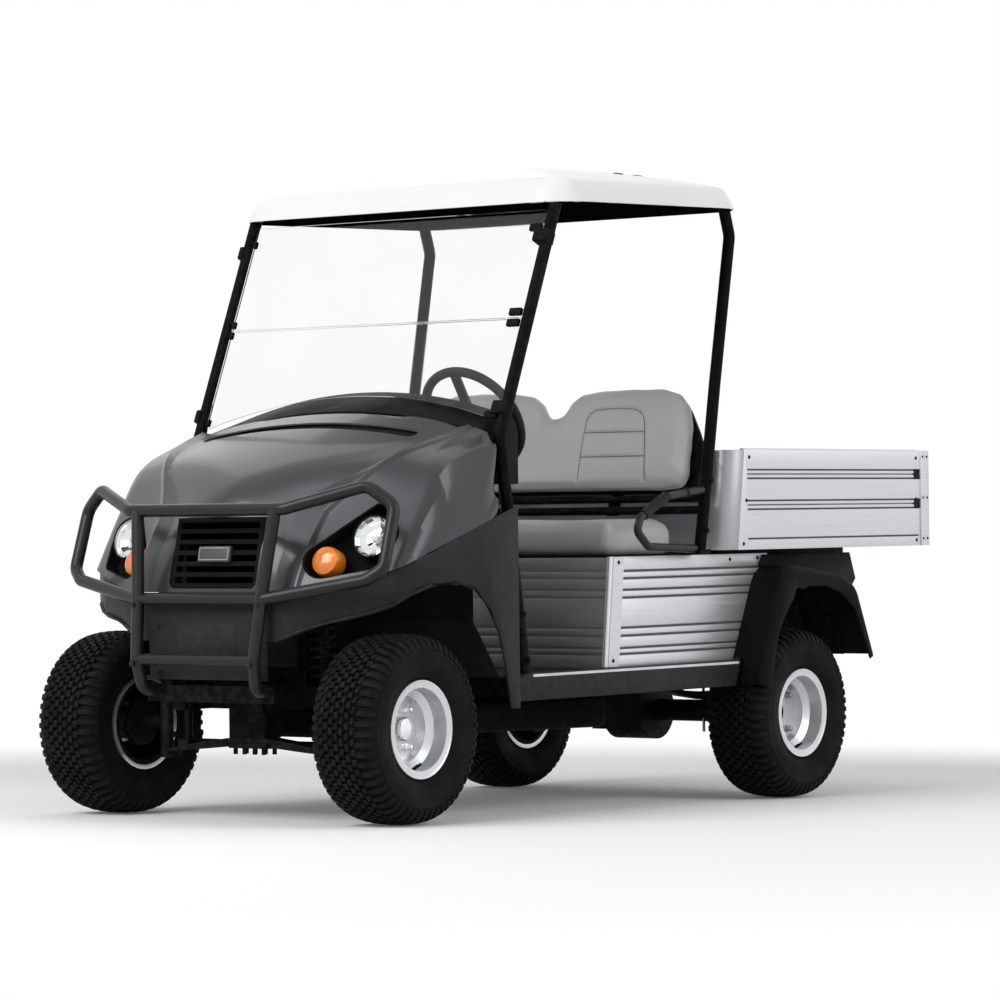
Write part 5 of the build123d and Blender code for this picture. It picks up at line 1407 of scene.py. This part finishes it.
class VEHICLE_OT_stage(bpy.types.Operator):
    """Sets the camera, the pale floor, the soft lamps and the pale surround"""
    bl_idname = "vehicle.stage"
    bl_label = "Stage"

    def execute(self, context):
        scene = context.scene
        scene.view_settings.view_transform = "Standard"
        back = Vector((math.sin(AZIMUTH) * math.cos(PITCH), -math.cos(AZIMUTH) * math.cos(PITCH),
                       math.sin(PITCH)))
        right = Vector((math.cos(AZIMUTH), math.sin(AZIMUTH), 0.0))
        up = back.cross(right)
        lens = bpy.data.cameras.new("camera")
        lens.sensor_width = SENSOR
        lens.lens = SENSOR * FOCAL / PHOTO
        lens.clip_end = 200.0
        camera = bpy.data.objects.new("camera", lens)
        place = Matrix.Translation(TARGET + back * DISTANCE + right * ASIDE + up * RAISED)
        camera.matrix_world = place @ Matrix((right, up, back)).transposed().to_4x4()
        scene.collection.objects.link(camera)
        scene.camera = camera
        for name, way, distance, size, power in (
                ("key", -right * 0.95 + back * 1.0 + Vector((0, 0, 0.85)), 6.5, 3.6, 250.0),
                ("fill", right * 1.2 + back * 0.6 + Vector((0, 0, 0.6)), 7.0, 4.0, 150.0),
                ("overhead", Vector((0, 0.1, 1.0)), 5.5, 4.0, 42.0),
                ("rear", -back * 1.0 - right * 0.3 + Vector((0, 0, 0.8)), 6.5, 4.0, 26.0)):
            lamp = bpy.data.lights.new(name, "AREA")
            lamp.shape = "RECTANGLE"
            lamp.size = lamp.size_y = size
            lamp.energy = power
            light = bpy.data.objects.new(name, lamp)
            way = way.normalized()
            light.matrix_world = aim(TARGET + way * distance, way)
            scene.collection.objects.link(light)
        bm = bmesh.new()
        bmesh.ops.create_circle(bm, cap_ends=True, segments=96, radius=FLOOR_R)
        floor = bpy.data.objects.new("studio_floor", made(bm, "studio_floor"))
        scene.collection.objects.link(floor)
        floor.data.materials.append(floor_finish())
        scene.world = pale_world()
        return {"FINISHED"}


def pale_rays(tree):
    """One for rays that should see the plain white surround."""
    path = tree.nodes.new("ShaderNodeLightPath")
    total = path.outputs["Is Camera Ray"]
    for label in ("Is Glossy Ray", "Is Transmission Ray"):
        node = tree.nodes.new("ShaderNodeMath")
        node.operation = "MAXIMUM"
        tree.links.new(total, node.inputs[0])
        tree.links.new(path.outputs[label], node.inputs[1])
        total = node.outputs[0]
    return total


def pale_world():
    """White to the camera, and a plain dimmer light on the vehicle."""
    world = bpy.data.worlds.new("surround")
    world.use_nodes = True
    tree = world.node_tree
    back = tree.nodes["Background"]
    back.inputs["Color"].default_value = (1, 1, 1, 1)
    level = tree.nodes.new("ShaderNodeMapRange")
    level.inputs["To Min"].default_value = SURROUND
    level.inputs["To Max"].default_value = 1.0
    tree.links.new(pale_rays(tree), level.inputs["Value"])
    tree.links.new(level.outputs[0], back.inputs["Strength"])
    return world


def floor_finish():
    """Pale matt floor that fades to plain white away from the vehicle."""
    material = bpy.data.materials.new("studio_floor")
    material.use_nodes = True
    tree = material.node_tree
    matt = tree.nodes["Principled BSDF"]
    matt.inputs["Base Color"].default_value = (0.93, 0.93, 0.93, 1)
    matt.inputs["Roughness"].default_value = 0.75
    matt.inputs["Specular IOR Level"].default_value = 0.1
    matt.inputs["Emission Color"].default_value = (1, 1, 1, 1)
    lift = tree.nodes.new("ShaderNodeMath")
    lift.operation = "MULTIPLY"
    lift.inputs[1].default_value = FLOOR_LIFT
    tree.links.new(pale_rays(tree), lift.inputs[0])
    tree.links.new(lift.outputs[0], matt.inputs["Emission Strength"])
    glow = tree.nodes.new("ShaderNodeEmission")
    place = tree.nodes.new("ShaderNodeTexCoord")
    length = tree.nodes.new("ShaderNodeVectorMath")
    length.operation = "LENGTH"
    tree.links.new(place.outputs["Object"], length.inputs[0])
    far = ranged(tree, length.outputs["Value"], FADE_NEAR, FADE_FAR, 0.0, 1.0)
    fade = times(tree, far, pale_rays(tree))
    mix = tree.nodes.new("ShaderNodeMixShader")
    tree.links.new(fade, mix.inputs[0])
    tree.links.new(matt.outputs[0], mix.inputs[1])
    tree.links.new(glow.outputs[0], mix.inputs[2])
    tree.links.new(mix.outputs[0], tree.nodes["Material Output"].inputs["Surface"])
    return material


class VEHICLE_PT_sidebar(bpy.types.Panel):
    """Lists the vehicle's colours, sizes and building steps"""
    bl_idname = "VEHICLE_PT_sidebar"
    bl_label = "Utility vehicle"
    bl_space_type = "VIEW_3D"
    bl_region_type = "UI"
    bl_category = "Vehicle"

    def draw(self, context):
        for holder in (colours(), sizes()):
            for label in holder.__annotations__:
                self.layout.prop(holder, label)
        for step_class in STEPS:
            self.layout.operator(step_class.bl_idname)


STEPS = (VEHICLE_OT_stage, VEHICLE_OT_hood, VEHICLE_OT_lamps, VEHICLE_OT_front, VEHICLE_OT_tyres,
         VEHICLE_OT_wheels, VEHICLE_OT_seats, VEHICLE_OT_cab, VEHICLE_OT_canopy, VEHICLE_OT_bed,
         VEHICLE_OT_running_gear)
CLASSES = (VehicleColours, VehicleSizes, *STEPS, VEHICLE_PT_sidebar)


def register():
    for item in CLASSES:
        bpy.utils.register_class(item)
    bpy.types.Scene.vehicle_colours = PointerProperty(type=VehicleColours)
    bpy.types.Scene.vehicle_sizes = PointerProperty(type=VehicleSizes)


def unregister():
    del bpy.types.Scene.vehicle_sizes
    del bpy.types.Scene.vehicle_colours
    for item in reversed(CLASSES):
        bpy.utils.unregister_class(item)


def main():
    register()
    make_finishes()
    for item in STEPS:
        space, name = item.bl_idname.split(".")
        getattr(getattr(bpy.ops, space), name)()


if __name__ == "__main__":
    main()
